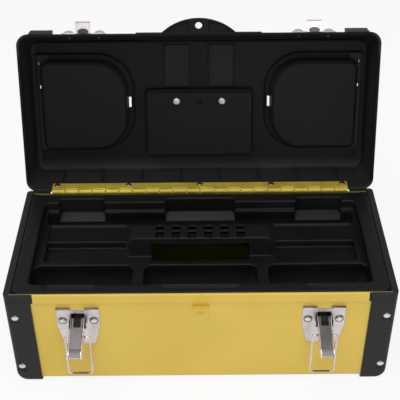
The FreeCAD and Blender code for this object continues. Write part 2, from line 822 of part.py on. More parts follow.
def make_latch_plate(side):
    """The latch's back plate: two lobes, a tapered foot, and two ears for the lever's pin."""
    x = f"{SIDES[side]} * latch_offset"
    body = new_body(f"latch_plate_{side}")
    ear_in = "lever_width / 2 + fit_gap"
    wide, foot, rim = "plate_half_width", "plate_foot_half_width", "base_height"
    half = (
        (ear_in, "plate_notch"),
        (ear_in, "plate_top"),
        (wide, "plate_top"),
        (wide, "plate_shoulder"),
        (foot, "plate_foot"),
        ("plate_slot_half", "plate_foot"),
        ("plate_slot_half", "bail_pivot_drop"),
    )
    corners = [(f"{x} + {a}", f"{rim} - {b}") for a, b in half]
    corners += [(f"{x} - ({a})", f"{rim} - {b}") for a, b in reversed(half)]
    face = "-panel_y - plate_gauge"
    prism(body, "Y", [polygon(*corners)], face, "-panel_y")
    lips = []
    for hand in SIDES.values():
        inner = f"{x} + {hand} * (plate_half_width - fit_gap)"
        outer = f"{x} + {hand} * ({ear_in} + fit_gap)"
        lips.append(box(inner, f"{rim} - plate_top - plate_gauge", outer, f"{rim} - plate_top"))
    prism(body, "Y", lips, f"{face} - plate_lip", face)
    ear_low = "lever_z - ear_half_height"
    ear_high = "lever_z + ear_half_height"
    cheek = box("lever_y", ear_low, face, ear_high)
    knob = disc("lever_y", "lever_z", "ear_knob")
    for hand in SIDES.values():
        reach = (f"{x} + {hand} * ({ear_in})", f"{x} + {hand} * ({ear_in} + ear_gauge)")
        low, high = reach if hand > 0 else reach[::-1]
        prism(body, "X", [cheek], low, high)
        prism(body, "X", [knob], low, high)
    bore = disc("lever_y", "lever_z", "lever_pin + 2 * pin_play")
    prism(body, "X", [bore], f"{x} - plate_half_width", f"{x} + plate_half_width", cut=True)
    holes = [
        disc(f"{x} + {hand} * plate_rivet_offset", f"{rim} - plate_rivet_drop", "rivet_hole")
        for hand in SIDES.values()
    ]
    prism(body, "Y", holes, "-base_depth", "0", cut=True)
    return body


def make_latch_rivets():
    """Two rivets through each latch plate."""
    members = []
    for x, z in latch_rivet_places():
        place = (x, "-panel_y - plate_gauge", z)
        members.append(rivet("latch_rivet", "plate_gauge + sheet_gauge", place, 90))
    return group("latch_rivets", members)


def make_lever(side):
    """The latch's lever: a pressed channel on the ears' pin, with a lifted finger end."""
    x = f"{SIDES[side]} * latch_offset"
    body = new_body(f"latch_lever_{side}")
    web = "lever_y - lever_web_out"
    tip_out = f"{web} - lever_tip_lift"
    bend = "lever_z - lever_bend_at"
    tip = "lever_z - lever_length"
    crown = "lever_z + lever_crown"
    deep = "bail_y + bail_wire"
    flank = polygon(
        (web, crown),
        (web, bend),
        (tip_out, tip),
        (f"{tip_out} + lever_gauge * 3", tip),
        (f"{web} + lever_bend_depth", bend),
        (deep, "bail_z - bail_eye"),
        (deep, "bail_z + bail_eye"),
        ("lever_y + lever_pin", "lever_z"),
        ("lever_y + lever_crown_in", crown),
    )
    half = "lever_width / 2"
    prism(body, "X", [flank], f"{x} - {half}", f"{x} + {half}")
    inside = polygon(
        (f"{web} + lever_gauge", f"{crown} + lever_gauge"),
        (f"{web} + lever_gauge", bend),
        (f"{tip_out} + lever_gauge", f"{tip} - lever_gauge"),
        (f"{deep} + lever_gauge", f"{tip} - lever_gauge"),
        (f"{deep} + lever_gauge", f"{crown} + lever_gauge"),
    )
    inner = f"{half} - lever_gauge"
    prism(body, "X", [inside], f"{x} - ({inner})", f"{x} + {inner}", cut=True)
    slit = "lever_width / 4"
    window = box(f"{x} - {slit}", "lever_z - lever_pin", f"{x} + {slit}", crown)
    prism(body, "Y", [window], f"{web} - lever_gauge", f"{web} + lever_web_cut", cut=True)
    bores = [
        disc("lever_y", "lever_z", "lever_pin + 2 * pin_play"),
        disc("bail_y", "bail_z", "bail_wire + 3 * pin_play"),
    ]
    prism(body, "X", bores, f"{x} - lever_width", f"{x} + lever_width", cut=True)
    poses[body.Label] = turned("-lever_rest_angle", "lever_y", "lever_z")
    return body


def make_lever_pin(side):
    """The pin through the ears and the lever, with two small heads."""
    x = f"{SIDES[side]} * latch_offset"
    body = new_body(f"lever_pin_{side}")
    outside = "lever_width / 2 + fit_gap + ear_gauge + pin_play"
    pin = disc("lever_y", "lever_z", "lever_pin")
    prism(body, "X", [pin], f"{x} - ({outside})", f"{x} + {outside}")
    head = disc("lever_y", "lever_z", "lever_pin_head")
    prism(body, "X", [head], f"{x} + {outside}", f"{x} + {outside} + fit_gap * 2")
    prism(body, "X", [head], f"{x} - ({outside}) - fit_gap * 2", f"{x} - ({outside})")
    return body


def make_bail(side):
    """The wire loop that hangs from the lever and is swung up over the keeper's hook."""
    x = f"{SIDES[side]} * latch_offset"
    body = new_body(f"latch_bail_{side}")
    inner = "lever_width / 2 - bail_hook_in"
    wide, bend = "bail_half_width", "bail_bend"
    turn = "bail_wire"
    low = "bail_z - bail_length"
    path = new_sketch(body, "Y", "-(bail_y)")
    route = [
        (f"{x} - ({inner})", "bail_z"),
        (f"{x} - {wide}", "bail_z"),
        (f"{x} - {wide}", low),
        (f"{x} + {wide}", low),
        (f"{x} + {wide}", "bail_z"),
        (f"{x} + {inner}", "bail_z"),
    ]
    radii = [None, turn, bend, bend, turn, None]
    draw_path(path, route, radii)
    profile = new_sketch(body, "X", f"{x} - ({inner})")
    draw_disc(profile, disc("bail_y", "bail_z", "bail_wire"))
    doc.recompute()
    pipe = body.newObject("PartDesign::AdditivePipe", "wire")
    pipe.Profile = profile
    pipe.Spine = (path, [f"Edge{n}" for n in range(1, len(path.Shape.Edges) + 1)])
    lifted = turned("-lever_rest_angle", "lever_y", "lever_z")
    plumb = turned("lever_rest_angle", "bail_y", "bail_z")
    poses[body.Label] = f"{lifted} * {plumb}"
    return body


def draw_path(sketch, route, radii):
    """Draws an open run of upright and level lines joined by quarter rounds."""
    stops = []
    for here, (a, b) in enumerate(route):
        if radii[here] is None:
            stops.append([(a, b)])
            continue
        pair = []
        for other in (route[here - 1], route[here + 1]):
            da = value(other[0]) - value(a)
            db = value(other[1]) - value(b)
            sign_a = (da > 1e-6) - (da < -1e-6)
            sign_b = (db > 1e-6) - (db < -1e-6)
            pair.append((f"{a} + {sign_a} * ({radii[here]})", f"{b} + {sign_b} * ({radii[here]})"))
        stops.append(pair)
    last = None
    for here in range(len(route) - 1):
        ends = (stops[here][-1], stops[here + 1][0])
        points = [FreeCAD.Vector(value(a), value(b), 0) for a, b in ends]
        line = sketch.addGeometry(Part.LineSegment(*points))
        for position, (a, b) in enumerate(ends, start=1):
            tie(sketch, "DistanceX", (-1, 1, line, position), a)
            tie(sketch, "DistanceY", (-1, 1, line, position), b)
        if last is not None:
            draw_corner(sketch, last, line, stops[here], route[here], radii[here])
        last = line


def make_keeper(side):
    """The plate on the lid's front wall, with a forward hook for the bail."""
    x = f"{SIDES[side]} * latch_offset"
    body = new_body(f"latch_keeper_{side}")
    wide, hook = "keeper_half_width", "keeper_hook_half_width"
    base_up = "keeper_gauge * 2"
    plate = box(f"{x} - {wide}", base_up, f"{x} + {wide}", "keeper_height", "keeper_gauge * 2")
    prism(body, "Y", [plate], "0", "keeper_gauge", slope=FRONT_WALL)
    nose = "lid_front - keeper_reach"
    root = wall_point(FRONT_WALL, f"{base_up} + keeper_gauge * 2", "keeper_gauge / 2")
    foot = wall_point(FRONT_WALL, base_up, "keeper_gauge / 2")
    profile = polygon(
        ("lid_front - fit_gap", "shelf_low"),
        (nose, "shelf_low"),
        (nose, "shelf_top + keeper_tip"),
        (f"{nose} + keeper_gauge", "shelf_top + keeper_tip"),
        (f"{nose} + keeper_gauge", "shelf_top"),
        (f"{root[0]} - keeper_gauge", "shelf_top"),
        root,
        foot,
    )
    prism(body, "X", [profile], f"{x} - {hook}", f"{x} + {hook}")
    holes = [
        disc(f"{x} + {hand} * keeper_rivet_offset", "keeper_rivet_height", "rivet_hole")
        for hand in SIDES.values()
    ]
    prism(body, "Y", holes, "-keeper_gauge", "keeper_gauge * 2", cut=True, slope=FRONT_WALL)
    swing_open(body)
    return body


def keeper_rivet_places():
    """X of the rivets through the keepers, all at one height up the lid's front wall."""
    for sign in SIDES.values():
        for hand in SIDES.values():
            yield f"{sign} * latch_offset + {hand} * keeper_rivet_offset"


def make_keeper_rivets():
    """Two rivets through each keeper and the lid's front wall."""
    y, z = wall_point(FRONT_WALL, "keeper_rivet_height", "keeper_gauge")
    members = []
    for x in keeper_rivet_places():
        grip = "keeper_gauge + lid_wall"
        members.append(rivet("keeper_rivet", grip, (x, y, z), "90 - lid_front_slope"))
    node = group("keeper_rivets", members)
    swing_open(node)
    return node


def well_outline(sign, grow):
    """The D-shaped outline of an organiser well, grown by a margin on every side."""
    inner_round = f"well_round + {grow}"
    outer_round = f"well_outer_round + {grow}"
    return box(
        f"{sign} * (well_inner - ({grow}))",
        f"well_y - well_half_width - ({grow})",
        f"{sign} * (well_outer + {grow})",
        f"well_y + well_half_width + {grow}",
        radii=[inner_round, outer_round, outer_round, inner_round],
    )


def make_lid_blank(body):
    """The lid's outside: sloped walls, round corners, hollowed from below to one wall."""
    section = polygon(
        ("lid_front", "lid_z"),
        ("hinge_y", "lid_z"),
        ("hinge_y - lid_height * tan(lid_back_slope)", "lid_top"),
        ("lid_front + lid_height * tan(lid_front_slope)", "lid_top"),
    )
    prism(body, "X", [section], "-end_x", "end_x")
    top_x = "end_x - (lid_height + lid_wall) * tan(lid_end_slope)"
    for sign in SIDES.values():
        lean = polygon(
            (f"{sign} * end_x", "lid_z"),
            (f"{sign} * (end_x + lid_wall)", "lid_z"),
            (f"{sign} * (end_x + lid_wall)", "lid_top + lid_wall"),
            (f"{sign} * ({top_x})", "lid_top + lid_wall"),
        )
        prism(body, "Y", [lean], "-base_depth", "base_depth", cut=True)
    half = value("lid_height / 2")
    soften(body, "lid_corner_radius", lambda e: e.BoundBox.ZLength > half)
    soften(body, "lid_top_radius", lambda e: lies_at(e, "Z", "lid_top"))
    doc.recompute()
    base = body.Tip
    heights = [face.CenterOfMass.z for face in base.Shape.Faces]
    open_face = heights.index(min(heights))
    shell = body.newObject("PartDesign::Thickness", "walls")
    shell.Base = (base, [f"Face{open_face + 1}"])
    shell.Reversed = True
    shell.setExpression("Value", bound("lid_wall"))


def add_lid_front(body):
    """Corner bumpers, gussets and the padlock tab along the lid's front rim."""
    top = "lid_front + ({0}) * tan(lid_front_slope)"
    for sign in SIDES.values():
        for near, far, tall in (
            ("bumper_inner", "bumper_outer", "bumper_height"),
            ("gusset_inner", "gusset_outer", "gusset_height"),
        ):
            wedge = polygon(
                ("lid_front", "lid_z"),
                ("lid_front + lid_wall / 2", "lid_z"),
                (top.format(f"{tall} + lid_wall") + " + lid_wall / 2", f"lid_z + {tall}"),
                ("lid_front", f"lid_z + {tall}"),
            )
            low, high = (near, far) if sign > 0 else (f"-{far}", f"-{near}")
            prism(body, "X", [wedge], low, high)
    tab = new_sketch(body, "Z", "lid_z")
    draw_tab(tab, "tab_half_width", "tab_reach")
    plate = body.newObject("PartDesign::Pad", "tab")
    plate.Profile = tab
    plate.setExpression("Length", bound("tab_thickness"))
    hollow_y = "lid_front - tab_hollow_reach"
    hollows = []
    for sign in SIDES.values():
        hollows.append(
            polygon(
                (f"{sign} * tab_web", "lid_front - tab_hollow_root"),
                (f"{sign} * (tab_half_width - tab_hollow_corner)", "lid_front - tab_hollow_root"),
                (f"{sign} * tab_hollow_half", hollow_y),
                (f"{sign} * tab_web", "lid_front - tab_reach + tab_hollow_edge"),
            )
        )
    prism(body, "Z", hollows, "lid_z", "lid_z + tab_hollow_depth", cut=True)
    eye = disc("0", "padlock_y", "padlock_hole")
    prism(body, "Z", [eye], "lid_z", "lid_z + tab_thickness", cut=True)


def draw_tab(sketch, half_width, reach):
    """Draws the shallow arch of the tab, closed along the rim."""
    left = ("-" + half_width, "lid_front + lid_wall / 2")
    right = (half_width, "lid_front + lid_wall / 2")
    crown = FreeCAD.Vector(0, value(f"lid_front - {reach}"), 0)
    ends = [FreeCAD.Vector(value(a), value(b), 0) for a, b in (left, right)]
    line = sketch.addGeometry(Part.LineSegment(*ends))
    arch = sketch.addGeometry(Part.Arc(ends[0], crown, ends[1]))
    for position, (a, b) in ((1, left), (2, right)):
        tie(sketch, "DistanceX", (-1, 1, line, position), a)
        tie(sketch, "DistanceY", (-1, 1, line, position), b)
    starts_left = sketch.Geometry[arch].StartPoint.x < 0
    sketch.addConstraint(Sketcher.Constraint("Coincident", line, 1, arch, 1 if starts_left else 2))
    sketch.addConstraint(Sketcher.Constraint("Coincident", line, 2, arch, 2 if starts_left else 1))
    rise = f"({reach} + lid_wall / 2)"
    tie(sketch, "Radius", (arch,), f"({half_width} ^ 2 + {rise} ^ 2) / (2 * {rise})")


def add_lid_ribs(body):
    """Stiffening ribs inside the lid's back wall, and two pads behind its front edge."""
    panel = "lid_top - lid_wall / 2"
    pads = [
        box(
            f"{sign} * pad_inner",
            "lid_front + lid_height * tan(lid_front_slope) + lid_top_radius",
            f"{sign} * pad_outer",
            "recess_front_y - lid_wall * 2",
        )
        for sign in SIDES.values()
    ]
    prism(body, "Z", pads, "lid_top - lid_wall - pad_height", panel)
    for n in range(4):
        for sign in SIDES.values():
            x = f"{sign} * (lid_rib_pitch * {n + 0.5})"
            left, right = f"{x} - lid_rib_width / 2", f"{x} + lid_rib_width / 2"
            rib = box(left, "leaf_reach + fit_gap", right, "lid_rib_top")
            prism(body, "Y", [rib], "lid_wall / 2", "lid_wall + lid_rib_depth", slope=BACK_WALL)


def hinge_seat(sign):
    """The outline of the thick end of a tub, where the cover's knuckles lie."""
    half = "well_half_width + collar_width"
    return box(
        f"{sign} * (well_outer - well_outer_round)",
        f"well_y - ({half})",
        f"{sign} * (cover_reach + lid_wall)",
        f"well_y + {half}",
    )


def recess_outline(grow):
    """The outline of the handle's recess, grown by a margin on every side."""
    return box(
        f"-recess_half_length - ({grow})",
        f"recess_front_y - ({grow})",
        f"recess_half_length + {grow}",
        f"recess_back_y + {grow}",
        "lid_wall",
    )


def cut_lid(body):
    """What is open in the lid: places for the tubs and recess, the hinge notch, rivet holes."""
    above = "lid_top + lid_wall"
    below = "lid_top - 2 * lid_wall"
    for sign in SIDES.values():
        prism(body, "Z", [well_outline(sign, "collar_width")], below, above, cut=True)
        prism(body, "Z", [hinge_seat(sign)], below, above, cut=True)
    prism(body, "Z", [recess_outline("lid_wall")], below, above, cut=True)
    notch = box(
        "-hinge_half - fit_gap",
        "lid_z - lid_wall",
        "hinge_half + fit_gap",
        "lid_z + hinge_notch_height",
    )
    prism(body, "Y", [notch], "hinge_y - lid_slant_wall * 2", "base_depth", cut=True)
    holes = [disc(f"{n} * leaf_rivet_pitch", "lid_rivet_reach", "rivet_hole") for n in LEAF_RIVETS]
    prism(body, "Y", holes, "-lid_wall", "lid_wall * 2", cut=True, slope=BACK_WALL)
    holes = [disc(x, "keeper_rivet_height", "rivet_hole") for x in keeper_rivet_places()]
    prism(body, "Y", holes, "-lid_wall * 2", "lid_wall", cut=True, slope=FRONT_WALL)


def make_tub(side):
    """One D-shaped organiser well of the lid, with its rebate and the cover's hinge pocket."""
    sign = SIDES[side]
    body = new_body(f"organiser_tub_{side}")
    above = "lid_top + lid_wall"
    pocket_floor = "cover_axis_z - cover_knuckle / 2 - cover_gap"
    collar = well_outline(sign, "collar_width")
    prism(body, "Z", [collar], "lid_top - rebate_depth - lid_wall", "lid_top")
    prism(body, "Z", [hinge_seat(sign)], f"{pocket_floor} - lid_wall", "lid_top")
    low = "well_floor - lid_wall"
    prism(body, "Z", [well_outline(sign, "lid_wall")], low, "lid_top")
    soften(body, "well_edge_round", lambda e: lies_at(e, "Z", low))
    prism(body, "Z", [well_outline(sign, "0")], "well_floor", above, cut=True)
    rebate = well_outline(sign, "rebate_width")
    prism(body, "Z", [rebate], "lid_top - rebate_depth", above, cut=True)
    half = "well_half_width + rebate_width"
    near, far = f"{sign} * (well_outer - well_outer_round)", f"{sign} * cover_reach"
    pocket = box(near, f"well_y - ({half})", far, f"well_y + {half}")
    prism(body, "Z", [pocket], pocket_floor, above, cut=True)
    stub = disc(f"{sign} * cover_axis_x", "cover_axis_z", "cover_stub + 2 * pin_play")
    long = f"{half} + cover_stub_length"
    prism(body, "Y", [stub], f"well_y - ({long})", f"well_y + {long}", cut=True)
    windows = [
        box(
            f"{sign} * (well_inner - rebate_width - cover_slot_width)",
            "well_y - cover_slot_length / 2",
            f"{sign} * (well_inner - rebate_width + cover_gap)",
            "well_y + cover_slot_length / 2",
        )
    ]
    for spread in ("hinge_slot_near", "hinge_slot_far"):
        y = f"well_y - {spread}"
        windows.append(
            box(
                f"{sign} * (cover_reach - cover_slot_width)",
                f"{y} - hinge_slot_length / 2",
                f"{sign} * (cover_reach - cover_gap / 2)",
                f"{y} + hinge_slot_length / 2",
            )
        )
    prism(body, "Z", windows, "well_floor", above, cut=True)
    swing_open(body)
    return body


def make_recess():
    """The handle's recess in the lid's top: a shallow tray with bores for the rod and screws."""
    body = new_body("handle_recess")
    low = "recess_floor - lid_wall"
    prism(body, "Z", [recess_outline("lid_wall")], low, "lid_top")
    soften(body, "recess_edge_round", lambda e: lies_at(e, "Z", low))
    boss = disc("0", "pivot_y", "boss_diameter")
    prism(body, "Z", [boss], f"{low} - boss_height", "recess_floor")
    prism(body, "Z", [recess_outline("0")], "recess_floor", "lid_top + lid_wall", cut=True)
    rod = disc("pivot_y", "pivot_z", "rod_diameter + 2 * pin_play")
    long = "recess_half_length + lid_wall * 2"
    prism(body, "X", [rod], f"-({long})", long, cut=True)
    screws = [
        disc(f"{sign} * screw_spacing / 2", "pivot_y", "screw_thread + 2 * rivet_play")
        for sign in SIDES.values()
    ]
    prism(body, "Z", screws, f"{low} - lid_wall", "lid_top", cut=True)
    swing_open(body)
    return body


def make_lid_shell():
    """The moulded lid."""
    body = new_body("lid_shell")
    make_lid_blank(body)
    add_lid_front(body)
    add_lid_ribs(body)
    cut_lid(body)
    swing_open(body)
    return body


def make_cover(side):
    """The flat cover of one organiser well, with two knuckles on stub pins at its outer end."""
    sign = SIDES[side]
    body = new_body(f"organiser_cover_{side}")
    low = "lid_top - rebate_depth + fit_gap / 2"
    grow = "rebate_width - cover_gap"
    plate = box(
        f"{sign} * (well_inner - ({grow}))",
        f"well_y - well_half_width - ({grow})",
        f"{sign} * (cover_axis_x - cover_knuckle / 2)",
        f"well_y + well_half_width + {grow}",
        radii=[f"well_round + {grow}", None, None, f"well_round + {grow}"],
    )
    prism(body, "Z", [plate], low, f"{low} + cover_thickness")
    barrel = disc(f"{sign} * cover_axis_x", "cover_axis_z", "cover_knuckle")
    stub = disc(f"{sign} * cover_axis_x", "cover_axis_z", "cover_stub")
    half = "well_half_width + rebate_width - cover_gap"
    for hand in SIDES.values():
        ends = (
            f"well_y + {hand} * ({half} - cover_knuckle_length)",
            f"well_y + {hand} * ({half})",
        )
        near, far = ends if hand > 0 else ends[::-1]
        arm = box(f"{sign} * (cover_axis_x - cover_knuckle)", near, f"{sign} * cover_axis_x", far)
        prism(body, "Z", [arm], low, f"{low} + cover_thickness")
        prism(body, "Y", [barrel], near, far)
        tips = (
            f"well_y + {hand} * ({half} - cover_stub_length)",
            f"well_y + {hand} * ({half} + cover_gap + cover_stub_length - fit_gap)",
        )
        near, far = tips if hand > 0 else tips[::-1]
        prism(body, "Y", [stub], near, far)
    swing_open(body)
    return body


def make_handle():
    """The carry handle: a flat bow that hangs from the pivot rod in the lid's recess."""
    body = new_body("carry_handle")
    low = "pivot_z - handle_thickness / 2"
    high = "pivot_z + handle_thickness / 2"
    grip_back = "pivot_y + handle_reach + handle_grip / 2"
    outer = box(
        "-handle_half_length",
        "pivot_y",
        "handle_half_length",
        grip_back,
        radii=[None, None, "handle_grip / 2", "handle_grip / 2"],
    )
    prism(body, "Z", [outer], low, high)
    arm_in = "handle_half_length - handle_arm_width"
    gap = box(
        f"-({arm_in})",
        "pivot_y - handle_thickness",
        arm_in,
        "pivot_y + handle_reach - handle_grip / 2",
        radii=[None, None, "handle_grip / 3", "handle_grip / 3"],
    )
    prism(body, "Z", [gap], low, high, cut=True)
    eye = disc("pivot_y", "pivot_z", "handle_thickness")
    for hand in SIDES.values():
        ends = (f"{hand} * ({arm_in})", f"{hand} * handle_half_length")
        near, far = ends if hand > 0 else ends[::-1]
        prism(body, "X", [eye], near, far)
    bore = disc("pivot_y", "pivot_z", "rod_diameter + 2 * pin_play")
    prism(body, "X", [bore], "-base_length", "base_length", cut=True)
    grip_front = value("pivot_y + handle_reach - handle_grip")
    soften(
        body,
        "handle_thickness / 4",
        lambda e: e.CenterOfMass.y > grip_front
        and (lies_at(e, "Z", low) or lies_at(e, "Z", high)),
    )
    swing_open(body, turned("lid_open_angle - 90", "pivot_y", "pivot_z"))
    return body


def make_handle_rod():
    """The steel rod that the handle turns on, held in the recess's side walls."""
    body = new_body("handle_pivot_rod")
    long = "recess_half_length + lid_wall"
    prism(body, "X", [disc("pivot_y", "pivot_z", "rod_diameter")], f"-({long})", long)
    swing_open(body)
    return body


def make_bracket():
    """The block that holds the rod down between the handle's arms."""
    body = new_body("handle_bracket")
    foot = box(
        "-bracket_half_length",
        "pivot_y - bracket_width / 2",
        "bracket_half_length",
        "pivot_y + bracket_width / 2",
        "lid_wall",
    )
    prism(body, "Z", [foot], "recess_floor", "pivot_z + rod_diameter / 2 + lid_wall")
    bore = disc("pivot_y", "pivot_z", "rod_diameter + 2 * pin_play")
    prism(body, "X", [bore], "-base_length", "base_length", cut=True)
    threads = [
        disc(f"{sign} * screw_spacing / 2", "pivot_y", "screw_thread + 2 * rivet_play")
        for sign in SIDES.values()
    ]
    prism(body, "Z", threads, "recess_floor", "pivot_z", cut=True)
    swing_open(body)
    return body


def make_handle_screws():
    """Two cross-slotted pan screws, driven from inside the lid into the bracket."""
    body = new_body("handle_screws")
    seat = "recess_floor - lid_wall"
    tip = "pivot_z - rod_diameter / 2 - fit_gap"
    for sign in SIDES.values():
        x = f"{sign} * screw_spacing / 2"
        prism(body, "Z", [disc(x, "pivot_y", "screw_thread")], f"{seat} - fit_gap", tip)
        prism(body, "Z", [disc(x, "pivot_y", "screw_head")], f"{seat} - screw_head_height", seat)
    low = f"{seat} - screw_head_height"
    soften(body, "screw_head_round", lambda e: lies_at(e, "Z", low))
    wide, long = "screw_slot_width / 2", "screw_slot_length / 2"
    for half_x, half_y in ((wide, long), (long, wide)):
        slots = []
        for sign in SIDES.values():
            x = f"{sign} * screw_spacing / 2"
            left, right = f"{x} - {half_x}", f"{x} + {half_x}"
            slots.append(box(left, f"pivot_y - {half_y}", right, f"pivot_y + {half_y}"))
        prism(body, "Z", slots, low, f"{low} + screw_slot_depth", cut=True)
    swing_open(body)
    return body


def scallops():
    """X limits of the three finger scallops along the front and the back of the tray."""
    return (
        ("-scallop_outer", "-scallop_inner"),
        ("-scallop_mid", "scallop_mid"),
        ("scallop_inner", "scallop_outer"),
    )


def front_troughs():
    """X limits of the three front troughs."""
    return (
        ("-tub_end", "-ridge_outer"),
        ("-ridge_inner", "ridge_inner"),
        ("ridge_outer", "tub_end"),
    )


def make_tray():
    """The lift-out tote tray: a flange, a stepped deck, troughs, pockets and an arched grip."""
    body = new_body("tote_tray")
    flange = box("-tray_end", "tray_front", "tray_end", "tray_back", "tray_corner_radius")
    prism(body, "Z", [flange], "tray_z - tray_flange", "tray_z")
    wall = "tray_wall"
    deck = box(
        f"-tub_end - {wall}",
        f"tub_front - {wall}",
        f"tub_end + {wall}",
        f"tub_back + {wall}",
        "trough_round",
    )
    prism(body, "Z", [deck], f"deck_z - {wall}", "tray_z")
    for low, high in front_troughs():
        left, right = f"{low} - {wall}", f"{high} + {wall}"
        near, far = f"tub_front - {wall}", f"trough_back + {wall}"
        tub = box(left, near, right, far, "trough_round")
        prism(body, "Z", [tub], f"floor_z - {wall}", "deck_z")
    rear_end = "tub_end - rear_trough_end"
    tub = box(
        f"-({rear_end}) - {wall}",
        f"rear_trough_front - {wall}",
        f"{rear_end} + {wall}",
        f"tub_back + {wall}",
        "trough_round",
    )
    prism(body, "Z", [tub], f"floor_z - {wall}", "deck_z")
    land_end = "tub_end - land_end_margin"
    for sign in SIDES.values():
        near, far = f"{sign} * (land_inner - {wall})", f"{sign} * ({land_end} + {wall})"
        pocket = box(near, f"pocket_front - {wall}", far, f"pocket_back + {wall}")
        prism(body, "Z", [pocket], f"deck_z - pocket_drop - {wall}", "deck_z")
        land = box(near, f"land_front - {wall}", far, "rear_trough_front")
        prism(body, "Z", [land], f"deck_z - land_drop - {wall}", "deck_z")
    for low, high in scallops():
        bulge = box(
            f"{low} - {wall}",
            f"tub_front - scallop_reach - {wall}",
            f"{high} + {wall}",
            "tub_front",
        )
        prism(body, "Z", [bulge], f"deck_z - {wall}", "tray_z")
    ledge_z = "tray_z - scallop_drop"
    fall = "ledge_fall * scallop_reach / (scallop_reach + ledge_out)"
    for low, high in scallops():
        ledge = polygon(
            ("tub_back - ledge_out", f"{ledge_z} - ledge_fall - {wall}"),
            (f"tub_back + scallop_reach + {wall}", f"{ledge_z} - {wall}"),
            (f"tub_back + scallop_reach + {wall}", f"tray_z - {wall} / 2"),
            ("tub_back", f"tray_z - {wall} / 2"),
            ("tub_back", f"{ledge_z} - ({fall})"),
            ("tub_back - ledge_out", f"{ledge_z} - ledge_fall"),
        )
        prism(body, "X", [ledge], f"{low} - {wall}", f"{high} + {wall}")
    well = box("-tub_end", "tub_front", "tub_end", "tub_back", "trough_round - tray_wall")
    prism(body, "Z", [well], "deck_z", "tray_z", cut=True)
    for low, high in front_troughs():
        rounds = [None, None, "trough_round", "trough_round"]
        trough = box(low, "tub_front", high, "trough_back", radii=rounds)
        prism(body, "Z", [trough], "floor_z", "deck_z", cut=True)
    back = "tub_back - ledge_out"
    trough = box(f"-({rear_end})", "rear_trough_front", rear_end, back, "trough_round / 2")
    prism(body, "Z", [trough], "floor_z", "deck_z", cut=True)
    for low, high in scallops():
        rounds = ["scallop_round", "scallop_round", None, None]
        scoop = box(low, "tub_front - scallop_reach", high, "tub_front + tray_wall", radii=rounds)
        prism(body, "Z", [scoop], "deck_z", "tray_z", cut=True)
        scoop = polygon(
            ("tub_back - ledge_out", f"{ledge_z} - ledge_fall"),
            ("tub_back + scallop_reach", ledge_z),
            ("tub_back + scallop_reach", f"tray_z + {wall}"),
            ("tub_back - ledge_out", f"tray_z + {wall}"),
        )
        prism(body, "X", [scoop], low, high, cut=True)
    soften(
        body,
        "scallop_round",
        lambda e: lies_at(e, "Y", "tub_back + scallop_reach")
        and any(lies_at(e, "X", x) for limits in scallops() for x in limits),
    )
    for sign in SIDES.values():
        near, far = f"{sign} * land_inner", f"{sign} * ({land_end})"
        pocket = box(near, "pocket_front", far, "pocket_back", "tray_wall")
        prism(body, "Z", [pocket], "deck_z - pocket_drop", "deck_z", cut=True)
        land = box(near, "land_front", far, f"rear_trough_front - {wall}", "tray_wall")
        prism(body, "Z", [land], "deck_z - land_drop", "deck_z", cut=True)
    add_grip(body)
    return body


def add_grip(body):
    """The tray's arched grip, with a finger opening under it and cored slots along its top."""
    top = "tray_z + grip_rise"
    back = "grip_front + grip_width"
    arch = box(
        "-grip_half_length",
        "deck_z - tray_wall",
        "grip_half_length",
        top,
        radii=[None, None, "grip_round", "grip_round"],
    )
    prism(body, "Y", [arch], "grip_front", back)
    inner = "grip_half_length - grip_leg"
    span = box(f"-({inner})", "finger_front", inner, back)
    prism(body, "Z", [span], "deck_z - 2 * tray_wall", f"{top} - grip_bar", cut=True)
    slots = []
    for n in range(6):
        x = f"{n - 2.5} * grip_slot_pitch"
        left, right = f"{x} - grip_slot_width / 2", f"{x} + grip_slot_width / 2"
        near = "grip_front + grip_edge"
        rib = f"{near} + grip_slot_front"
        slots.append(box(left, near, right, rib))
        slots.append(box(left, f"{rib} + grip_rib", right, f"{rib} + grip_rib + grip_slot_back"))
    prism(body, "Z", slots, f"{top} - grip_slot_depth", top, cut=True)


make_base_shell()
make_staple()
make_cap_rivets()
make_base_leaf()
make_lid_leaf()
make_hinge_pin()
make_leaf_rivets()
make_latch_rivets()
make_keeper_rivets()
make_lid_shell()
make_recess()
make_handle()
make_handle_rod()
make_bracket()
make_handle_screws()
make_tray()
for side in SIDES:
    make_end_cap(side)
    make_latch_plate(side)
    make_lever(side)
    make_lever_pin(side)
    make_bail(side)
    make_keeper(side)
    make_tub(side)
    make_cover(side)

NODE_KINDS = ("PartDesign::Body", "Part::Compound")
nodes = [item for item in doc.Objects if item.TypeId in NODE_KINDS]
for node in nodes:
    set_down(node)
doc.recompute()
faults = [item.Name for item in doc.Objects if {"Invalid", "Error"} & set(item.State)]
faults += [node.Label for node in nodes if node.Shape.isNull() or not node.Shape.isValid()]
if faults:
    raise RuntimeError("failed to build: " + ", ".join(faults))

os.makedirs("parts", exist_ok=True)
for node in nodes:
    node.Shape.exportStep(f"parts/{node.Label}.step")
    limits = node.Shape.BoundBox
    print(f"{node.Label}: {len(node.Shape.Solids)} solids, {node.Shape.Volume / 1000:.2f} cm3,", end=" ")
    print(f"{limits.XLength:.1f} x {limits.YLength:.1f} x {limits.ZLength:.1f} mm")
whole = Part.makeCompound([node.Shape for node in nodes]).optimalBoundingBox()
print(f"whole box: Y {whole.YMin:.3f} to {whole.YMax:.3f} mm, Z from {whole.ZMin:.3f} mm")
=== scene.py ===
# %% [markdown]
# # A steel and plastic tool box
# The box is already built as solids, one for each piece, and they arrive here as a fixed frame.
# This lesson gives each piece its finish, adds the small pressed forms that the solids leave out,
# and lights the whole as for a catalogue picture.

# %% Load the frame
import bmesh
import bpy
import math
from mathutils import Matrix, Vector


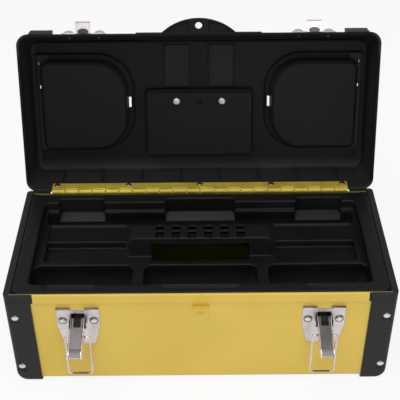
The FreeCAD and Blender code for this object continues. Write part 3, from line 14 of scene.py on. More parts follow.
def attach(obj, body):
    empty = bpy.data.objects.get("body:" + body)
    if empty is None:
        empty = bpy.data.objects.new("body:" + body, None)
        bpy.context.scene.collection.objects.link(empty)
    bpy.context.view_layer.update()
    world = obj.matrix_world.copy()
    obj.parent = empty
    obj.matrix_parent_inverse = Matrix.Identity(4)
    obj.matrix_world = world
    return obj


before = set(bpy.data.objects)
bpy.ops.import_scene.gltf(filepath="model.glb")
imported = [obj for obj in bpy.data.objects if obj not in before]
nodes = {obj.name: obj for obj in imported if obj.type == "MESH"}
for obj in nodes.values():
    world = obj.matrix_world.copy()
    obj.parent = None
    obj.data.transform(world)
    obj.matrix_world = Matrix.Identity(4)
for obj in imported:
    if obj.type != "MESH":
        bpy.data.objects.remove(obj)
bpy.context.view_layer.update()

# %% [markdown]
# ## Shader sums in plain writing
# A finish mixes noises and masks. Wiring each sum by hand hides what it does, so a socket is
# wrapped in a small class whose plus, minus and times add the nodes. One method adds any other
# node, with its settings first and its sockets after.


# %% Signals and finishes
class Signal:
    """An output socket that can be added, subtracted and multiplied."""

    def __init__(self, finish, socket):
        self.finish = finish
        self.socket = socket

    def __add__(self, other):
        return self.finish.joined("ADD", self, other)

    def __radd__(self, other):
        return self.finish.joined("ADD", other, self)

    def __sub__(self, other):
        return self.finish.joined("SUBTRACT", self, other)

    def __rsub__(self, other):
        return self.finish.joined("SUBTRACT", other, self)

    def __mul__(self, other):
        return self.finish.joined("MULTIPLY", self, other)

    def __rmul__(self, other):
        return self.finish.joined("MULTIPLY", other, self)


class Finish:
    """A material under construction, with its own shader and object coordinates."""

    def __init__(self, name):
        self.material = bpy.data.materials.new(name)
        self.material.use_nodes = True
        self.tree = self.material.node_tree
        self.shader = next(n for n in self.tree.nodes if n.type == "BSDF_PRINCIPLED")
        self.place = self.node("ShaderNodeTexCoord", out="Object")

    def node(self, kind, settings=None, sockets=None, out=0):
        made = self.tree.nodes.new(kind)
        for key, setting in (settings or {}).items():
            setattr(made, key, setting)
        for key, given in (sockets or {}).items():
            self.feed(made.inputs[key], given)
        return Signal(self, made.outputs[out])

    def joined(self, operation, first, second):
        return self.node("ShaderNodeMath", {"operation": operation}, {0: first, 1: second})

    def feed(self, socket, given):
        if isinstance(given, Signal):
            self.tree.links.new(given.socket, socket)
        elif isinstance(given, tuple) and len(given) == 3 and socket.type == "RGBA":
            socket.default_value = (*given, 1)
        else:
            socket.default_value = given

    def set(self, **sockets):
        for key, given in sockets.items():
            self.feed(self.shader.inputs[key.replace("_", " ")], given)

    def noise(self, scale, detail=3, stretch=(1, 1, 1)):
        where = self.node(
            "ShaderNodeVectorMath", {"operation": "MULTIPLY"}, {0: self.place, 1: stretch}
        )
        return self.node(
            "ShaderNodeTexNoise", {}, {"Vector": where, "Scale": scale, "Detail": detail}
        )

    def band(self, signal, low, high):
        """A ramp from 0 at the low value to 1 at the high one, flat outside them."""
        sockets = {"Value": signal, "From Min": low, "From Max": high}
        return self.node("ShaderNodeMapRange", {}, sockets)

    def above(self, signal, edge, width):
        """A mask that is 0 up to the edge and 1 from a short width beyond it."""
        return self.band(signal, edge, edge + width)

    def below(self, signal, edge, width):
        """A mask that is 1 up to the edge and 0 from a short width beyond it."""
        return 1 - self.above(signal, edge, width)

    def either(self, first, *others):
        """A mask that is on where any of these is."""
        for other in others:
            first = self.joined("MAXIMUM", first, other)
        return first

    def length(self, across, up):
        """The length of the slanted line that two square distances make."""
        return self.joined("SQRT", across * across + up * up, 0)

    def near(self, axis, middle):
        """How far the surface is from a plane across one axis."""
        return self.joined("ABSOLUTE", self.part(self.place, axis) - middle, 0)

    def from_side(self, middle):
        """How far the surface is, along X, from the nearer of two mirrored planes."""
        return self.joined("ABSOLUTE", self.near("X", 0) - middle, 0)

    def blend(self, mask, first, second):
        settings = {"data_type": "RGBA"}
        sockets = {"Factor": mask, 6: first, 7: second}
        return self.node("ShaderNodeMix", settings, sockets, out=2)

    def rounded(self, radius):
        """The normal of the surface as if its sharp edges had this radius."""
        return self.node("ShaderNodeBevel", {"samples": 6}, {"Radius": radius})

    def edges(self, radius):
        """A mask that is 1 on sharp edges and 0 on flats."""
        flat = self.node("ShaderNodeNewGeometry", out="Normal")
        sockets = {0: self.rounded(radius), 1: flat}
        same = self.node(
            "ShaderNodeVectorMath", {"operation": "DOT_PRODUCT"}, sockets, out="Value"
        )
        return self.band(1 - same, 0.02, 0.3)

    def part(self, signal, axis):
        """One coordinate of a vector signal."""
        return self.node("ShaderNodeSeparateXYZ", {}, {0: signal}, out=axis)

    def relief(self, height, strength, depth, radius):
        """Fine bumps, on a surface whose sharp edges look rounded."""
        sockets = {
            "Height": height,
            "Strength": strength,
            "Distance": depth,
            "Normal": self.rounded(radius),
        }
        self.set(Normal=self.node("ShaderNodeBump", {}, sockets))


def put_on(finish, *names):
    """Gives a finish to frame pieces by name."""
    for name in names:
        slots = nodes[name].data.materials
        slots.clear()
        slots.append(finish.material)
    print(finish.material.name, "on", ", ".join(names))


# %% [markdown]
# ## Mustard enamel on the steel trough
# The trough is rolled sheet with a baked enamel. Up close the paint has an orange-peel skin, on a
# larger scale it is faintly uneven, and along the cut edges it is thinner and paler. A picture of
# paint could be wrapped round it, but noises need no unwrapping and stay sharp at any distance: a
# low one shifts the colour, a fine one makes the skin, and the edge mask lightens the rims, partly
# for the thinner paint and partly as a painted highlight.

# %% The enamel
deep_yellow = (0.585, 0.4, 0.052)
bright_yellow = (0.655, 0.462, 0.078)
thin_and_highlit_yellow = (0.83, 0.7, 0.2)

enamel = Finish("panel_enamel")
mottle = enamel.band(enamel.noise(9, 4), 0.3, 0.7)
paint = enamel.blend(mottle, deep_yellow, bright_yellow)
# Paler edges: partly thinner paint, partly a painted highlight along the rims.
paint = enamel.blend(enamel.edges(0.0012) * 0.65, paint, thin_and_highlit_yellow)

# %% [markdown]
# ## Painted shade where the light does not reach
# The inside, the ends under the caps and the hinge edge are painted a dark olive, a painted shade
# for the little light that reaches them. The trough is one piece, so a second material would need
# its faces sorted by hand. Masks are easier: they pick out these places by their distance from the
# middle planes of the trough.

# %% The painted shade
shade_olive = (0.24, 0.23, 0.055)
middle_y = -0.019
inner_half = 0.0804
inside_floor = 0.0025
cap_edge = 0.1562
back_edge = 0.1055
sharp = 0.0002
back_fade = 0.001

height = enamel.part(enamel.place, "Z")
inside = enamel.below(enamel.near("Y", middle_y), inner_half, sharp)
inside = inside * enamel.above(height, inside_floor, sharp)
lapped = enamel.above(enamel.near("X", 0), cap_edge, sharp)
behind = enamel.above(enamel.part(enamel.place, "Y"), 0, back_fade)
behind = behind * enamel.above(height, back_edge, sharp)
# Painted shade: a dark olive inside the trough, under the caps and along the hinge edge.
paint = enamel.blend(enamel.either(inside, lapped, behind), paint, shade_olive)
enamel.set(Base_Color=paint, Roughness=0.36 + 0.1 * mottle, Coat_Weight=0.15)
enamel.set(Coat_Roughness=0.2, Specular_IOR_Level=0.4)
enamel.relief(enamel.noise(1100, 2), strength=0.12, depth=0.0002, radius=0.0007)
put_on(enamel, "base_shell", "padlock_staple")

# %% [markdown]
# ## Black mouldings
# Caps, lid and tray are black polypropylene from a spark-eroded mould: a fine leathery grain,
# scuffed grey on the corners that get knocked, with broad shiny patches where hands and tools have
# rubbed. One function makes the family; each piece sets its own shade, gloss and grain.


# %% A family of mouldings
scuffed = (0.06, 0.059, 0.058)


def moulding(name, shade, gloss, grain, scuff, shine, soft=0.0011, marks=None):
    """A black plastic. Soft is the radius that its sharp edges seem to have."""
    finish = Finish(name)
    cloud = finish.band(finish.noise(14, 4), 0.32, 0.68)
    speck = finish.noise(900, 2)
    dark = tuple(shade * tone for tone in (0.92, 0.94, 0.98))
    light = tuple(shade * tone for tone in (1.35, 1.35, 1.4))
    colour = finish.blend(cloud, dark, light)
    rub = finish.edges(0.0016) * finish.band(finish.noise(60, 3), 0.35, 0.65) * scuff
    colour = finish.blend(rub, colour, scuffed)
    if marks:
        colour = marks(finish, colour)
    finish.set(Base_Color=colour, Roughness=gloss + 0.12 * cloud + 0.08 * speck)
    finish.set(Specular_IOR_Level=shine)
    finish.relief(speck, strength=grain, depth=0.00025, radius=soft)
    return finish


cap_plastic = moulding(
    "cap_moulding", shade=0.0105, gloss=0.36, grain=0.16, scuff=0.5, shine=0.24, soft=0.002
)
put_on(cap_plastic, "end_cap_left", "end_cap_right")
cover_plastic = moulding(
    "cover_moulding", shade=0.009, gloss=0.42, grain=0.2, scuff=0.45, shine=0.2
)
put_on(cover_plastic, "organiser_cover_left", "organiser_cover_right")
handle_plastic = moulding(
    "handle_moulding", shade=0.009, gloss=0.4, grain=0.25, scuff=0.6, shine=0.2
)
put_on(handle_plastic, "carry_handle", "handle_bracket")

# %% [markdown]
# ## Painted light and shade in the tray
# The deep troughs are painted paler towards their floors, a painted light, while the slots in the
# grip are painted black, a painted shade. The pale band lies low, so its mask hangs on the height
# alone; the slots lie in one small block round the middle of the grip.

# %% The tray
trough_painted_light = (0.029, 0.029, 0.0295)
painted_light_full, painted_light_gone = 0.077, 0.091
slot_painted_shade = (0.0006, 0.0006, 0.0006)
slots_half_x = 0.0441
slots_y, slots_half_y = -0.0238, 0.0096
slots_z, slots_half_z = 0.1183, 0.0025
slots_fade_z = 0.0003


def tray_marks(finish, colour):
    """Painted light low in the deep troughs, and painted shade in the slots of the grip's top."""
    height = finish.part(finish.place, "Z")
    # Painted light: paler towards the floors of the deep troughs.
    painted_light = 1 - finish.band(height, painted_light_full, painted_light_gone)
    colour = finish.blend(painted_light, colour, trough_painted_light)
    # Painted shade: the slots in the grip's top are painted black.
    slots = finish.below(finish.near("X", 0), slots_half_x, sharp)
    slots = slots * finish.below(finish.near("Y", slots_y), slots_half_y, sharp)
    slots = slots * finish.below(finish.near("Z", slots_z), slots_half_z, slots_fade_z)
    return finish.blend(slots, colour, slot_painted_shade)


tray_plastic = moulding(
    "tray_moulding",
    shade=0.0048,
    gloss=0.36,
    grain=0.1,
    scuff=0.3,
    shine=0.2,
    soft=0.0026,
    marks=tray_marks,
)
put_on(tray_plastic, "tote_tray")

# %% [markdown]
# ## Painted light on the lid's walls
# The lid's four walls and the sides of the two bulges and the plate are painted paler, a painted
# light that lifts their shade. At rest the lid stands open, so its depth runs along a slanted line,
# and the mask for the bulges adds up Y and Z along that line. The bulges stand further in than the
# plate does, and have a collar round their foot, so both limits shift there.

# %% The lid
lid_painted_light = (0.019, 0.019, 0.0193)
lid_angle = math.radians(104.5)
end_wall, end_rim = (0.168, 0.173), (0.1768, 0.178)
foot_wall = (0.111, 0.119)
head_wall, head_rim = (0.246, 0.2485), (0.2645, 0.268)
bulge_top, bulge_foot = (0.063, 0.064), (0.0758, 0.0768)
bulge_inner = (0.06, 0.061)
bulge_further = 0.0064
collar = 0.0024


def lid_marks(finish, colour):
    """Painted light on the lid's walls and on the sides of its bulges."""
    aside = finish.near("X", 0)
    height = finish.part(finish.place, "Z")
    depth = finish.part(finish.place, "Y") * math.sin(lid_angle) + height * math.cos(lid_angle)
    ends = finish.band(aside, *end_wall) * (1 - finish.band(aside, *end_rim))
    foot = 1 - finish.band(height, *foot_wall)
    head = finish.band(height, *head_wall) * (1 - finish.band(height, *head_rim))
    wide = finish.band(aside, *bulge_inner)
    flanks = finish.band(depth + wide * bulge_further, *bulge_top)
    flanks = flanks * (1 - finish.band(depth + wide * collar, *bulge_foot))
    # Painted light on the lid's walls and the sides of its bulges.
    return finish.blend(finish.either(ends, foot, head, flanks), colour, lid_painted_light)


# Black plastic, set darker here as painted shade on the open lid's inside, lit by the front lamp.
lid_plastic = moulding(
    "lid_moulding",
    shade=0.0034,
    gloss=0.4,
    grain=0.1,
    scuff=0.3,
    shine=0.1,
    soft=0.003,
    marks=lid_marks,
)
put_on(
    lid_plastic, "lid_shell", "organiser_tub_left", "organiser_tub_right", "handle_recess"
)

# %% [markdown]
# ## Plated and bright metal
# The hinge is passivated to a gold colour, the latches are bright nickel, the rivets are polished
# aluminium and the screws and pins plain steel. All are metals with a colour that drifts a little
# and fine scratches that break up the shine, so one function takes both tints and the roughness.


# %% A family of metals
def metal(
    name, tint, dull_tint, gloss, scratch, stretch=(1, 1, 1), purity=1.0, rim=None, marks=None
):
    """A metal. Stretch draws its scratches out, and rim is a painted shade along its edges."""
    finish = Finish(name)
    bloom = finish.band(finish.noise(45, 3), 0.3, 0.7)
    lines = finish.noise(260, 3, stretch)
    colour = finish.blend(bloom, dull_tint, tint)
    grime = (1 - finish.band(finish.noise(170, 4), 0.28, 0.5)) * 0.25
    colour = finish.blend(grime, colour, tuple(part * 0.55 for part in dull_tint))
    if rim:
        colour = finish.blend(finish.edges(0.0007), colour, rim)
    if marks:
        colour = marks(finish, colour)
    finish.set(Base_Color=colour, Metallic=purity)
    finish.set(Roughness=gloss + 0.1 * bloom + 0.1 * lines)
    finish.relief(lines, strength=scratch, depth=0.0002, radius=0.0004)
    return finish


# %% [markdown]
# ## The gold hinge
# The hinge is zinc plated and passivated, which leaves a gold film over the metal. The film dulls
# the mirror, so the finish is only partly metallic, and its scratches run up and down the leaves.
# Brown painted shade along the edges draws the outlines of the knuckles.

# %% The gold hinge
# Brown painted shade, for the hinge's edges and the pin between its knuckles.
brown = (0.07, 0.05, 0.01)
gold = metal(
    "gold_passivated",
    tint=(0.6, 0.46, 0.06),
    dull_tint=(0.46, 0.34, 0.035),
    gloss=0.42,
    scratch=0.2,
    stretch=(1, 1, 6),
    purity=0.3,
    rim=brown,
)
put_on(gold, "hinge_base_leaf", "hinge_lid_leaf")

# %% [markdown]
# ## Painted shade on the latch plates
# The presswork is painted dark where light cannot get in, a painted shade: round the rivets, behind
# the lever, along the folds.
# These marks hang on distances from the latch's own middle plane, so both latches share a finish.

# %% Nickelled plates
latch_x = 0.1135
rivet_aside = 0.0145
rivet_z = 0.078
# Black painted shade, for the latch presswork, the lever's window and the pin between its ears.
black = (0.03, 0.026, 0.025)
along_x = (6, 1, 1)
dimple_radius = 0.0041
bed_half, bed_foot, bed_top = 0.006, 0.071, 0.0866
ear_front, ear_top = -0.1015, 0.0845


def plate_marks(finish, colour):
    """Painted shade in the dimples round the rivets, on the bed behind the lever and on the ears'
    cheeks.
    """
    aside = finish.from_side(latch_x)
    height = finish.part(finish.place, "Z")
    reach = finish.length(aside - rivet_aside, height - rivet_z)
    dimple = finish.below(reach, dimple_radius, 0.0003)
    bed = finish.below(aside, bed_half, 0.0003) * finish.below(height, bed_top, 0.0004)
    bed = bed * finish.above(height, bed_foot, 0.002)
    ears = finish.below(finish.part(finish.place, "Y"), ear_front, 0.0003)
    ears = ears * finish.below(height, ear_top, 0.0005)
    return finish.blend(finish.either(dimple, bed, ears), colour, black)


nickel = metal(
    "bright_nickel",
    tint=(0.74, 0.69, 0.72),
    dull_tint=(0.58, 0.54, 0.56),
    gloss=0.2,
    scratch=0.15,
    stretch=along_x,
    # The rim is a painted shade along the plate's edges.
    rim=(0.1, 0.085, 0.09),
    marks=plate_marks,
)
put_on(nickel, "latch_plate_left", "latch_plate_right")

# %% [markdown]
# ## Levers and bails
# A lever is a pressed channel: a painted highlight along its rolled sides, painted shade in the
# fold inside them and in the window at its pin, and painted light towards its tip. Its marks hang
# on the distance from the pin's axis, and a body keeps its own coordinates when it moves, so they
# stay in place when the lever turns. The bail is a plain wire, with painted shade along the stretch
# that runs across.

# %% Nickelled levers and wire
pin_y = -0.107
pin_z = 0.078
window_radius, window_half = 0.0062, 0.0034
tip_light_from, tip_light_fade, tip_painted_light = 0.026, 0.008, (0.5, 0.48, 0.49)
fold_aside, fold_painted_shade = 0.0048, (0.06, 0.056, 0.058)
roll_aside, roll_painted_highlight = 0.0056, (0.95, 0.92, 0.92)
cross_half, cross_fade, cross_painted_shade = 0.007, 0.0025, (0.17, 0.13, 0.09)


def lever_marks(finish, colour):
    """Painted highlight on the rolled sides, painted shade in the folds and the window, painted
    light at the tip.
    """
    aside = finish.from_side(latch_x)
    out = finish.part(finish.place, "Y") - pin_y
    up = finish.part(finish.place, "Z") - pin_z
    reach = finish.length(out, up)
    window = finish.below(reach, window_radius, 0.0004) * finish.below(aside, window_half, sharp)
    colour = finish.blend(window, colour, black)
    # Painted light towards the tip, painted shade in the fold, painted highlight on the rolled
    # sides.
    colour = finish.blend(finish.above(reach, tip_light_from, tip_light_fade), colour, tip_painted_light)
    colour = finish.blend(finish.above(aside, fold_aside, 0.0003), colour, fold_painted_shade)
    return finish.blend(finish.above(aside, roll_aside, 0.0003), colour, roll_painted_highlight)


def bail_marks(finish, colour):
    """The wire is painted darker where it runs across, a painted shade."""
    across = finish.below(finish.from_side(latch_x), cross_half, cross_fade)
    # Painted shade on the stretch of wire that runs across.
    return finish.blend(across, colour, cross_painted_shade)


# Same nickel as the plates, in a much darker tint: a painted shade.
lever_nickel = metal(
    "lever_nickel",
    tint=(0.2, 0.19, 0.197),
    dull_tint=(0.14, 0.132, 0.136),
    gloss=0.3,
    scratch=0.2,
    stretch=along_x,
    marks=lever_marks,
)
put_on(lever_nickel, "latch_lever_left", "latch_lever_right")
wire = metal(
    "bail_wire",
    tint=(0.8, 0.71, 0.68),
    dull_tint=(0.6, 0.52, 0.5),
    gloss=0.2,
    scratch=0.1,
    marks=bail_marks,
)
put_on(wire, "latch_bail_left", "latch_bail_right")

# %% [markdown]
# ## Keepers
# The keepers are the hooks on the lid that the bails pull on. The hollow of each hook is painted
# dark, a painted shade. An ellipse makes its mask: both distances are divided by its half axes, and
# the sum of their squares is 1 on its outline.

# %% Nickelled keepers
hollow_z = 0.2711
hollow_half_x, hollow_half_z = 0.00581, 0.003125
hollow_painted_shade = (0.06, 0.05, 0.045)


def keeper_marks(finish, colour):
    """Painted shade in the hollow where the bail's wire sits in the hook."""
    across = finish.from_side(latch_x) * (1 / hollow_half_x)
    up = (finish.part(finish.place, "Z") - hollow_z) * (1 / hollow_half_z)
    # Painted shade in the hollow of the hook.
    hollow = 1 - finish.band(across * across + up * up, 0.75, 1.1)
    return finish.blend(hollow, colour, hollow_painted_shade)


keeper = metal(
    "keeper_nickel",
    tint=(0.62, 0.58, 0.57),
    dull_tint=(0.46, 0.43, 0.42),
    gloss=0.24,
    scratch=0.15,
    stretch=along_x,
    # The rim is a painted shade along the keeper's edges.
    rim=(0.16, 0.14, 0.14),
    marks=keeper_marks,
)
put_on(keeper, "latch_keeper_left", "latch_keeper_right")

# %% [markdown]
# ## Rivets
# The rivets in the caps and the latches are polished aluminium domes, those in the hinge are gold
# like it, and those of the keepers are painted near black, a painted shade. A small dome in a white
# room looks flat, so the upper half of the polished ones gets a darker tint, chosen by how far the
# surface faces upward.

# %% Rivets
dome_dark = (0.07, 0.06, 0.045)


def dome_shade(finish, colour):
    """The upper half of a polished dome is darker, as under a dark ceiling."""
    upward = finish.part(finish.node("ShaderNodeNewGeometry", out="Normal"), "Z")
    return finish.blend(finish.band(upward, 0.1, 0.45) * 0.9, colour, dome_dark)


rivet_shine = metal(
    "rivet_shine",
    tint=(0.86, 0.84, 0.78),
    dull_tint=(0.7, 0.67, 0.6),
    gloss=0.2,
    scratch=0.1,
    marks=dome_shade,
)
put_on(rivet_shine, "cap_rivets", "latch_rivets")
# The keeper rivets get a near-black tint as painted shade.
painted_shade_rivet = metal(
    "painted_shade_rivet",
    tint=(0.09, 0.085, 0.08),
    dull_tint=(0.05, 0.048, 0.045),
    gloss=0.4,
    scratch=0.1,
)
put_on(painted_shade_rivet, "keeper_rivets")
gold_rivet = metal(
    "gold_rivet", tint=(0.5, 0.36, 0.2), dull_tint=(0.24, 0.13, 0.07), gloss=0.3, scratch=0.1
)
put_on(gold_rivet, "hinge_base_rivets", "hinge_lid_rivets")

# %% [markdown]
# ## Pins, rod and screws
# These are plain steel turned on a lathe, so the scratches run round them. Where a pin runs through
# its knuckles or ears it is painted dark, a painted shade, and only its ends are left bright: a
# mask on the distance from the middle plane tells the two apart.

# %% Steel
steel_tints = {"tint": (0.8, 0.79, 0.77), "dull_tint": (0.62, 0.61, 0.6)}
turned = (1, 6, 6)
pin_half = 0.153
ear_half = 0.007
shade_fade = 0.0005


def pin_marks(finish, colour):
    """Only the cut ends of the hinge pin are bright; between the knuckles it is painted dark as
    shade.
    """
    return finish.blend(finish.below(finish.near("X", 0), pin_half, shade_fade), colour, brown)


def shade_between_ears(finish, colour):
    """Between the ears a lever's pin is painted black as shade; its heads outside them stay bright.
    """
    between = finish.below(finish.from_side(latch_x), ear_half, shade_fade)
    return finish.blend(between, colour, black)


pin_steel = metal(
    "pin_steel", **steel_tints, gloss=0.22, scratch=0.15, stretch=turned, marks=pin_marks
)
put_on(pin_steel, "hinge_pin")
lever_steel = metal(
    "lever_pin_steel", **steel_tints, gloss=0.24, scratch=0.15, stretch=turned, marks=shade_between_ears
)
put_on(lever_steel, "lever_pin_left", "lever_pin_right")
steel = metal("plain_steel", **steel_tints, gloss=0.22, scratch=0.15, stretch=turned)
put_on(steel, "handle_pivot_rod")
screw_steel = metal(
    "screw_steel",
    tint=(0.55, 0.54, 0.53),
    dull_tint=(0.26, 0.26, 0.25),
    gloss=0.3,
    scratch=0.3,
    # The rim is a painted shade along the screws' edges and slots.
    rim=(0.02, 0.02, 0.02),
)
put_on(screw_steel, "handle_screws")

# %% [markdown]
# ## Curled lips on the latch plates
# The top edge of each lobe is curled over a wire so that it does not cut a hand. A cone with equal
# ends makes the roll, and a bevel on its two rims rounds the ends. The place goes into the mesh, so
# the finished object stays at the origin, and it rides on the body that carries the plate.

# %% Four rolls
roll_radius = 0.0014
roll_half = 0.0062
lobe_middle = 0.0133
roll_y = -0.1025
roll_z = 0.0927
end_rounding = roll_radius * 0.6


def add_roll(mesh, x):
    place = Matrix.Translation((x, roll_y, roll_z)) @ Matrix.Rotation(math.pi / 2, 4, "Y")
    made = bmesh.ops.create_cone(
        mesh,
        cap_ends=True,
        segments=28,
        radius1=roll_radius,
        radius2=roll_radius,
        depth=2 * roll_half,
        matrix=place,
    )
    ends = [face for vert in made["verts"] for face in vert.link_faces if len(face.verts) > 4]
    rims = {edge for face in ends for edge in face.edges}
    bmesh.ops.bevel(
        mesh,
        geom=list(rims),
        offset=end_rounding,
        offset_type="OFFSET",
        affect="EDGES",
        segments=4,
        profile=0.5,
        material=-1,
    )


def place_piece(name, mesh, finish, body):
    """Turns an edited mesh into a smooth finished object that rides on a body."""
    for face in mesh.faces:
        face.smooth = True
    data = bpy.data.meshes.new(name)
    mesh.to_mesh(data)
    mesh.free()
    data.materials.append(finish.material)
    piece = bpy.data.objects.new(name, data)
    bpy.context.collection.objects.link(piece)
    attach(piece, body)
    print(name, len(data.polygons), "faces, rides on", body)


lip_nickel = metal(
    "lip_nickel",
    tint=(0.86, 0.82, 0.84),
    dull_tint=(0.7, 0.66, 0.68),
    gloss=0.16,
    scratch=0.1,
    stretch=along_x,
    marks=dome_shade,
)
sides = {"left": -1, "right": 1}
for side, sign in sides.items():
    rolls = bmesh.new()
    for hand in (-1, 1):
        add_roll(rolls, sign * latch_x + hand * lobe_middle)
    place_piece(f"latch_lips_{side}", rolls, lip_nickel, "base")

# %% [markdown]
# ## Rolled sides on the levers
# The long sides of each lever are rolled up so that the thumb finds no sharp edge. The solid has
# plain sides, so a thin tube follows each of them: rings are set along the side's line, bridged
# one to the next, and closed at both ends. The line is drawn with the lever pressed flat and then
# turned about the pin to the lever's place at rest.

# %% Four rolled sides
side_radius = 0.0009
side_aside = 0.0058
lever_rest = math.radians(-72)
side_line = ((-0.0038, 0.0046), (-0.0038, -0.0255), (-0.0041, -0.028), (-0.0063, -0.0372))


def add_side(mesh, x):
    turn = Matrix.Rotation(lever_rest, 4, "X")
    pin = Vector((0, pin_y, pin_z))
    points = [turn @ Vector((0, out, up)) + pin for out, up in side_line]
    rings = []
    for n, point in enumerate(points):
        along = points[min(n + 1, len(points) - 1)] - points[max(n - 1, 0)]
        facing = along.to_track_quat("Z", "X").to_matrix().to_4x4()
        place = Matrix.Translation(point + Vector((x, 0, 0))) @ facing
        ring = bmesh.ops.create_circle(mesh, segments=14, radius=side_radius, matrix=place)
        rings.append(list({edge for vert in ring["verts"] for edge in vert.link_edges}))
    for first, second in zip(rings, rings[1:]):
        bmesh.ops.bridge_loops(mesh, edges=first + second)
    bmesh.ops.holes_fill(mesh, edges=rings[0] + rings[-1])


side_nickel = metal(
    "side_nickel", tint=(0.92, 0.88, 0.88), dull_tint=(0.76, 0.72, 0.72), gloss=0.2, scratch=0.1
)
for side, sign in sides.items():
    edging = bmesh.new()
    for hand in (-1, 1):
        add_side(edging, sign * latch_x + hand * side_aside)
    bmesh.ops.recalc_face_normals(edging, faces=edging.faces)
    place_piece(f"lever_sides_{side}", edging, side_nickel, f"lever_{side}")

# %% [markdown]
# ## Rims round the latch rivets
# Each latch rivet sits in a dimple with a raised rim. A small circle, spun once round the rivet's
# axis and merged where it meets itself, makes the rim.

# %% Four rims
rim_reach = 0.0039
rim_radius = 0.00045
plate_face = -0.101


def add_rim(mesh, x):
    middle = Vector((x, plate_face, rivet_z))
    place = Matrix.Translation(middle + Vector((rim_reach, 0, 0)))
    ring = bmesh.ops.create_circle(mesh, segments=12, radius=rim_radius, matrix=place)
    edges = list({edge for vert in ring["verts"] for edge in vert.link_edges})
    bmesh.ops.spin(
        mesh,
        geom=ring["verts"] + edges,
        cent=middle,
        axis=(0, 1, 0),
        angle=2 * math.pi,
        steps=36,
        use_merge=True,
    )


rim_nickel = metal(
    "rim_nickel",
    tint=(0.5, 0.46, 0.45),
    dull_tint=(0.36, 0.33, 0.32),
    gloss=0.22,
    scratch=0.1,
    marks=dome_shade,
)
for side, sign in sides.items():
    rims = bmesh.new()
    for hand in (-1, 1):
        add_rim(rims, sign * latch_x + hand * rivet_aside)
    bmesh.ops.recalc_face_normals(rims, faces=rims.faces)
    place_piece(f"rivet_rims_{side}", rims, rim_nickel, "base")

# %% [markdown]
# ## Bosses on the keepers
# Each keeper is pressed up into a low round boss over either rivet, and these bosses stand out
# against the white above the lid. A sphere is flattened, turned to the slope of the open lid's
# front wall and cut off at the plate with a plane; the cut is closed with one face.

# %% Four bosses
boss_radius = 0.0054
boss_height = 0.0034
boss_aside = 0.0152
boss_y = 0.111
boss_z = 0.2652
boss_sink = 0.0004
lean = lid_angle - math.pi / 2
wall_out = Vector((0, math.sin(lean), math.cos(lean)))


def add_boss(mesh, x):
    middle = Vector((x, boss_y, boss_z))
    turn = Matrix.Rotation(-lean, 4, "X")
    shape = Matrix.Diagonal((boss_radius, boss_radius, boss_height, 1))
    made = bmesh.ops.create_uvsphere(
        mesh,
        u_segments=32,
        v_segments=16,
        radius=1,
        matrix=Matrix.Translation(middle) @ turn @ shape,
    )
    faces = {face for vert in made["verts"] for face in vert.link_faces}
    edges = {edge for face in faces for edge in face.edges}
    cut = bmesh.ops.bisect_plane(
        mesh,
        geom=[*made["verts"], *edges, *faces],
        plane_co=middle - wall_out * boss_sink,
        plane_no=wall_out,
        clear_inner=True,
    )
    rim = [item for item in cut["geom_cut"] if isinstance(item, bmesh.types.BMEdge)]
    bmesh.ops.holes_fill(mesh, edges=rim)


boss_nickel = metal(
    "boss_nickel", tint=(0.8, 0.75, 0.7), dull_tint=(0.66, 0.61, 0.57), gloss=0.28, scratch=0.15
)
for side, sign in sides.items():
    bosses = bmesh.new()
    for hand in (-1, 1):
        add_boss(bosses, sign * latch_x + hand * boss_aside)
    bmesh.ops.recalc_face_normals(bosses, faces=bosses.faces)
    place_piece(f"keeper_bosses_{side}", bosses, boss_nickel, "lid")

# %% [markdown]
# ## The white table
# The picture is a catalogue one, on a table that fades into the background. More light would bleach
# the box too, so the table itself is whitened instead: rays from the camera, and those mirrored in
# metal, see it mostly as an even white glow, and only a soft shadow of the box is left on it.

# %% The white table
floor_half = 40
whiteness = 0.87
table = bmesh.new()
bmesh.ops.create_grid(table, x_segments=1, y_segments=1, size=floor_half)
floor_mesh = bpy.data.meshes.new("floor")
table.to_mesh(floor_mesh)
table.free()
floor = bpy.data.objects.new("floor", floor_mesh)
bpy.context.collection.objects.link(floor)

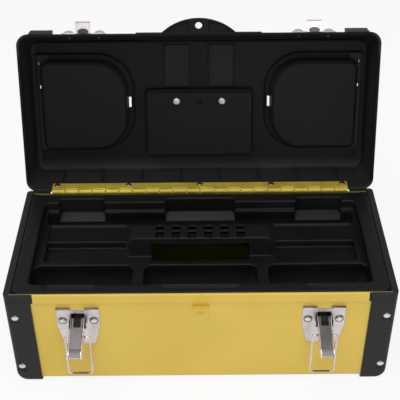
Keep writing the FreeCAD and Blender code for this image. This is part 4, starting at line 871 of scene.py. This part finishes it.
white = Finish("white_table")
path = white.tree.nodes.new("ShaderNodeLightPath")
seen = Signal(white, path.outputs["Is Camera Ray"])
seen = seen + Signal(white, path.outputs["Is Glossy Ray"])
seen = seen + Signal(white, path.outputs["Is Transmission Ray"])
glow = white.node("ShaderNodeEmission", {}, {"Color": (1, 1, 1), "Strength": 1.0})
white.set(Base_Color=(0.8, 0.8, 0.8), Roughness=0.9, Specular_IOR_Level=0.1)
paint_side = Signal(white, white.shader.outputs[0])
mixed = white.node("ShaderNodeMixShader", {}, {0: seen * whiteness, 1: paint_side, 2: glow})
output = next(n for n in white.tree.nodes if n.type == "OUTPUT_MATERIAL")
white.tree.links.new(mixed.socket, output.inputs["Surface"])
floor_mesh.materials.append(white.material)
print("floor", 2 * floor_half, "m wide")

# %% [markdown]
# ## Room and lamps
# A white room gives an even light from all sides, and two broad soft lamps, one above and one in
# front, give the enamel its faint gradient and the metal its bright edges. Large lamps are chosen
# because small ones would draw hard shadows of the lid into the tray.

# %% The white room
room_strength = 0.52
world = bpy.data.worlds.new("white_room")
bpy.context.scene.world = world
world.use_nodes = True
room = world.node_tree.nodes["Background"]
room.inputs["Color"].default_value = (1, 1, 1, 1)
room.inputs["Strength"].default_value = room_strength


# %% The lamps
def lamp(name, place, aim, size, power):
    light = bpy.data.lights.new(name, "AREA")
    light.size = size
    light.energy = power
    holder = bpy.data.objects.new(name, light)
    bpy.context.collection.objects.link(holder)
    holder.location = place
    turn = (Vector(aim) - Vector(place)).to_track_quat("-Z", "Y")
    holder.rotation_euler = turn.to_euler()
    print(name, power, "W")


lamp("top_softbox", place=(-0.25, -0.35, 1.25), aim=(0, 0.02, 0.1), size=0.9, power=7.6)
lamp("front_softbox", place=(0.2, -1.5, 0.55), aim=(0, 0, 0.1), size=0.8, power=7.6)

# %% [markdown]
# ## Camera
# The photo looks down on the box from in front, through a long lens and turned by a fraction of a
# degree. The place and the lens were found by setting the corners of the box against the photo.

# %% The camera
camera_place = (0, -0.766, 0.692)
camera_target = (0, -0.019, 0.1552)
lens = 87.4
tilt = math.radians(-0.45)
camera = bpy.data.objects.new("camera", bpy.data.cameras.new("camera"))
bpy.context.collection.objects.link(camera)
bpy.context.scene.camera = camera
camera.data.sensor_width = 36
camera.data.lens = lens
camera.location = camera_place
aim = Vector(camera_target) - camera.location
facing = aim.to_track_quat("-Z", "Y").to_matrix().to_4x4() @ Matrix.Rotation(tilt, 4, "Z")
camera.rotation_euler = facing.to_euler()
bpy.context.scene.view_settings.view_transform = "Standard"
print("camera", round(aim.length, 3), "m from the box")
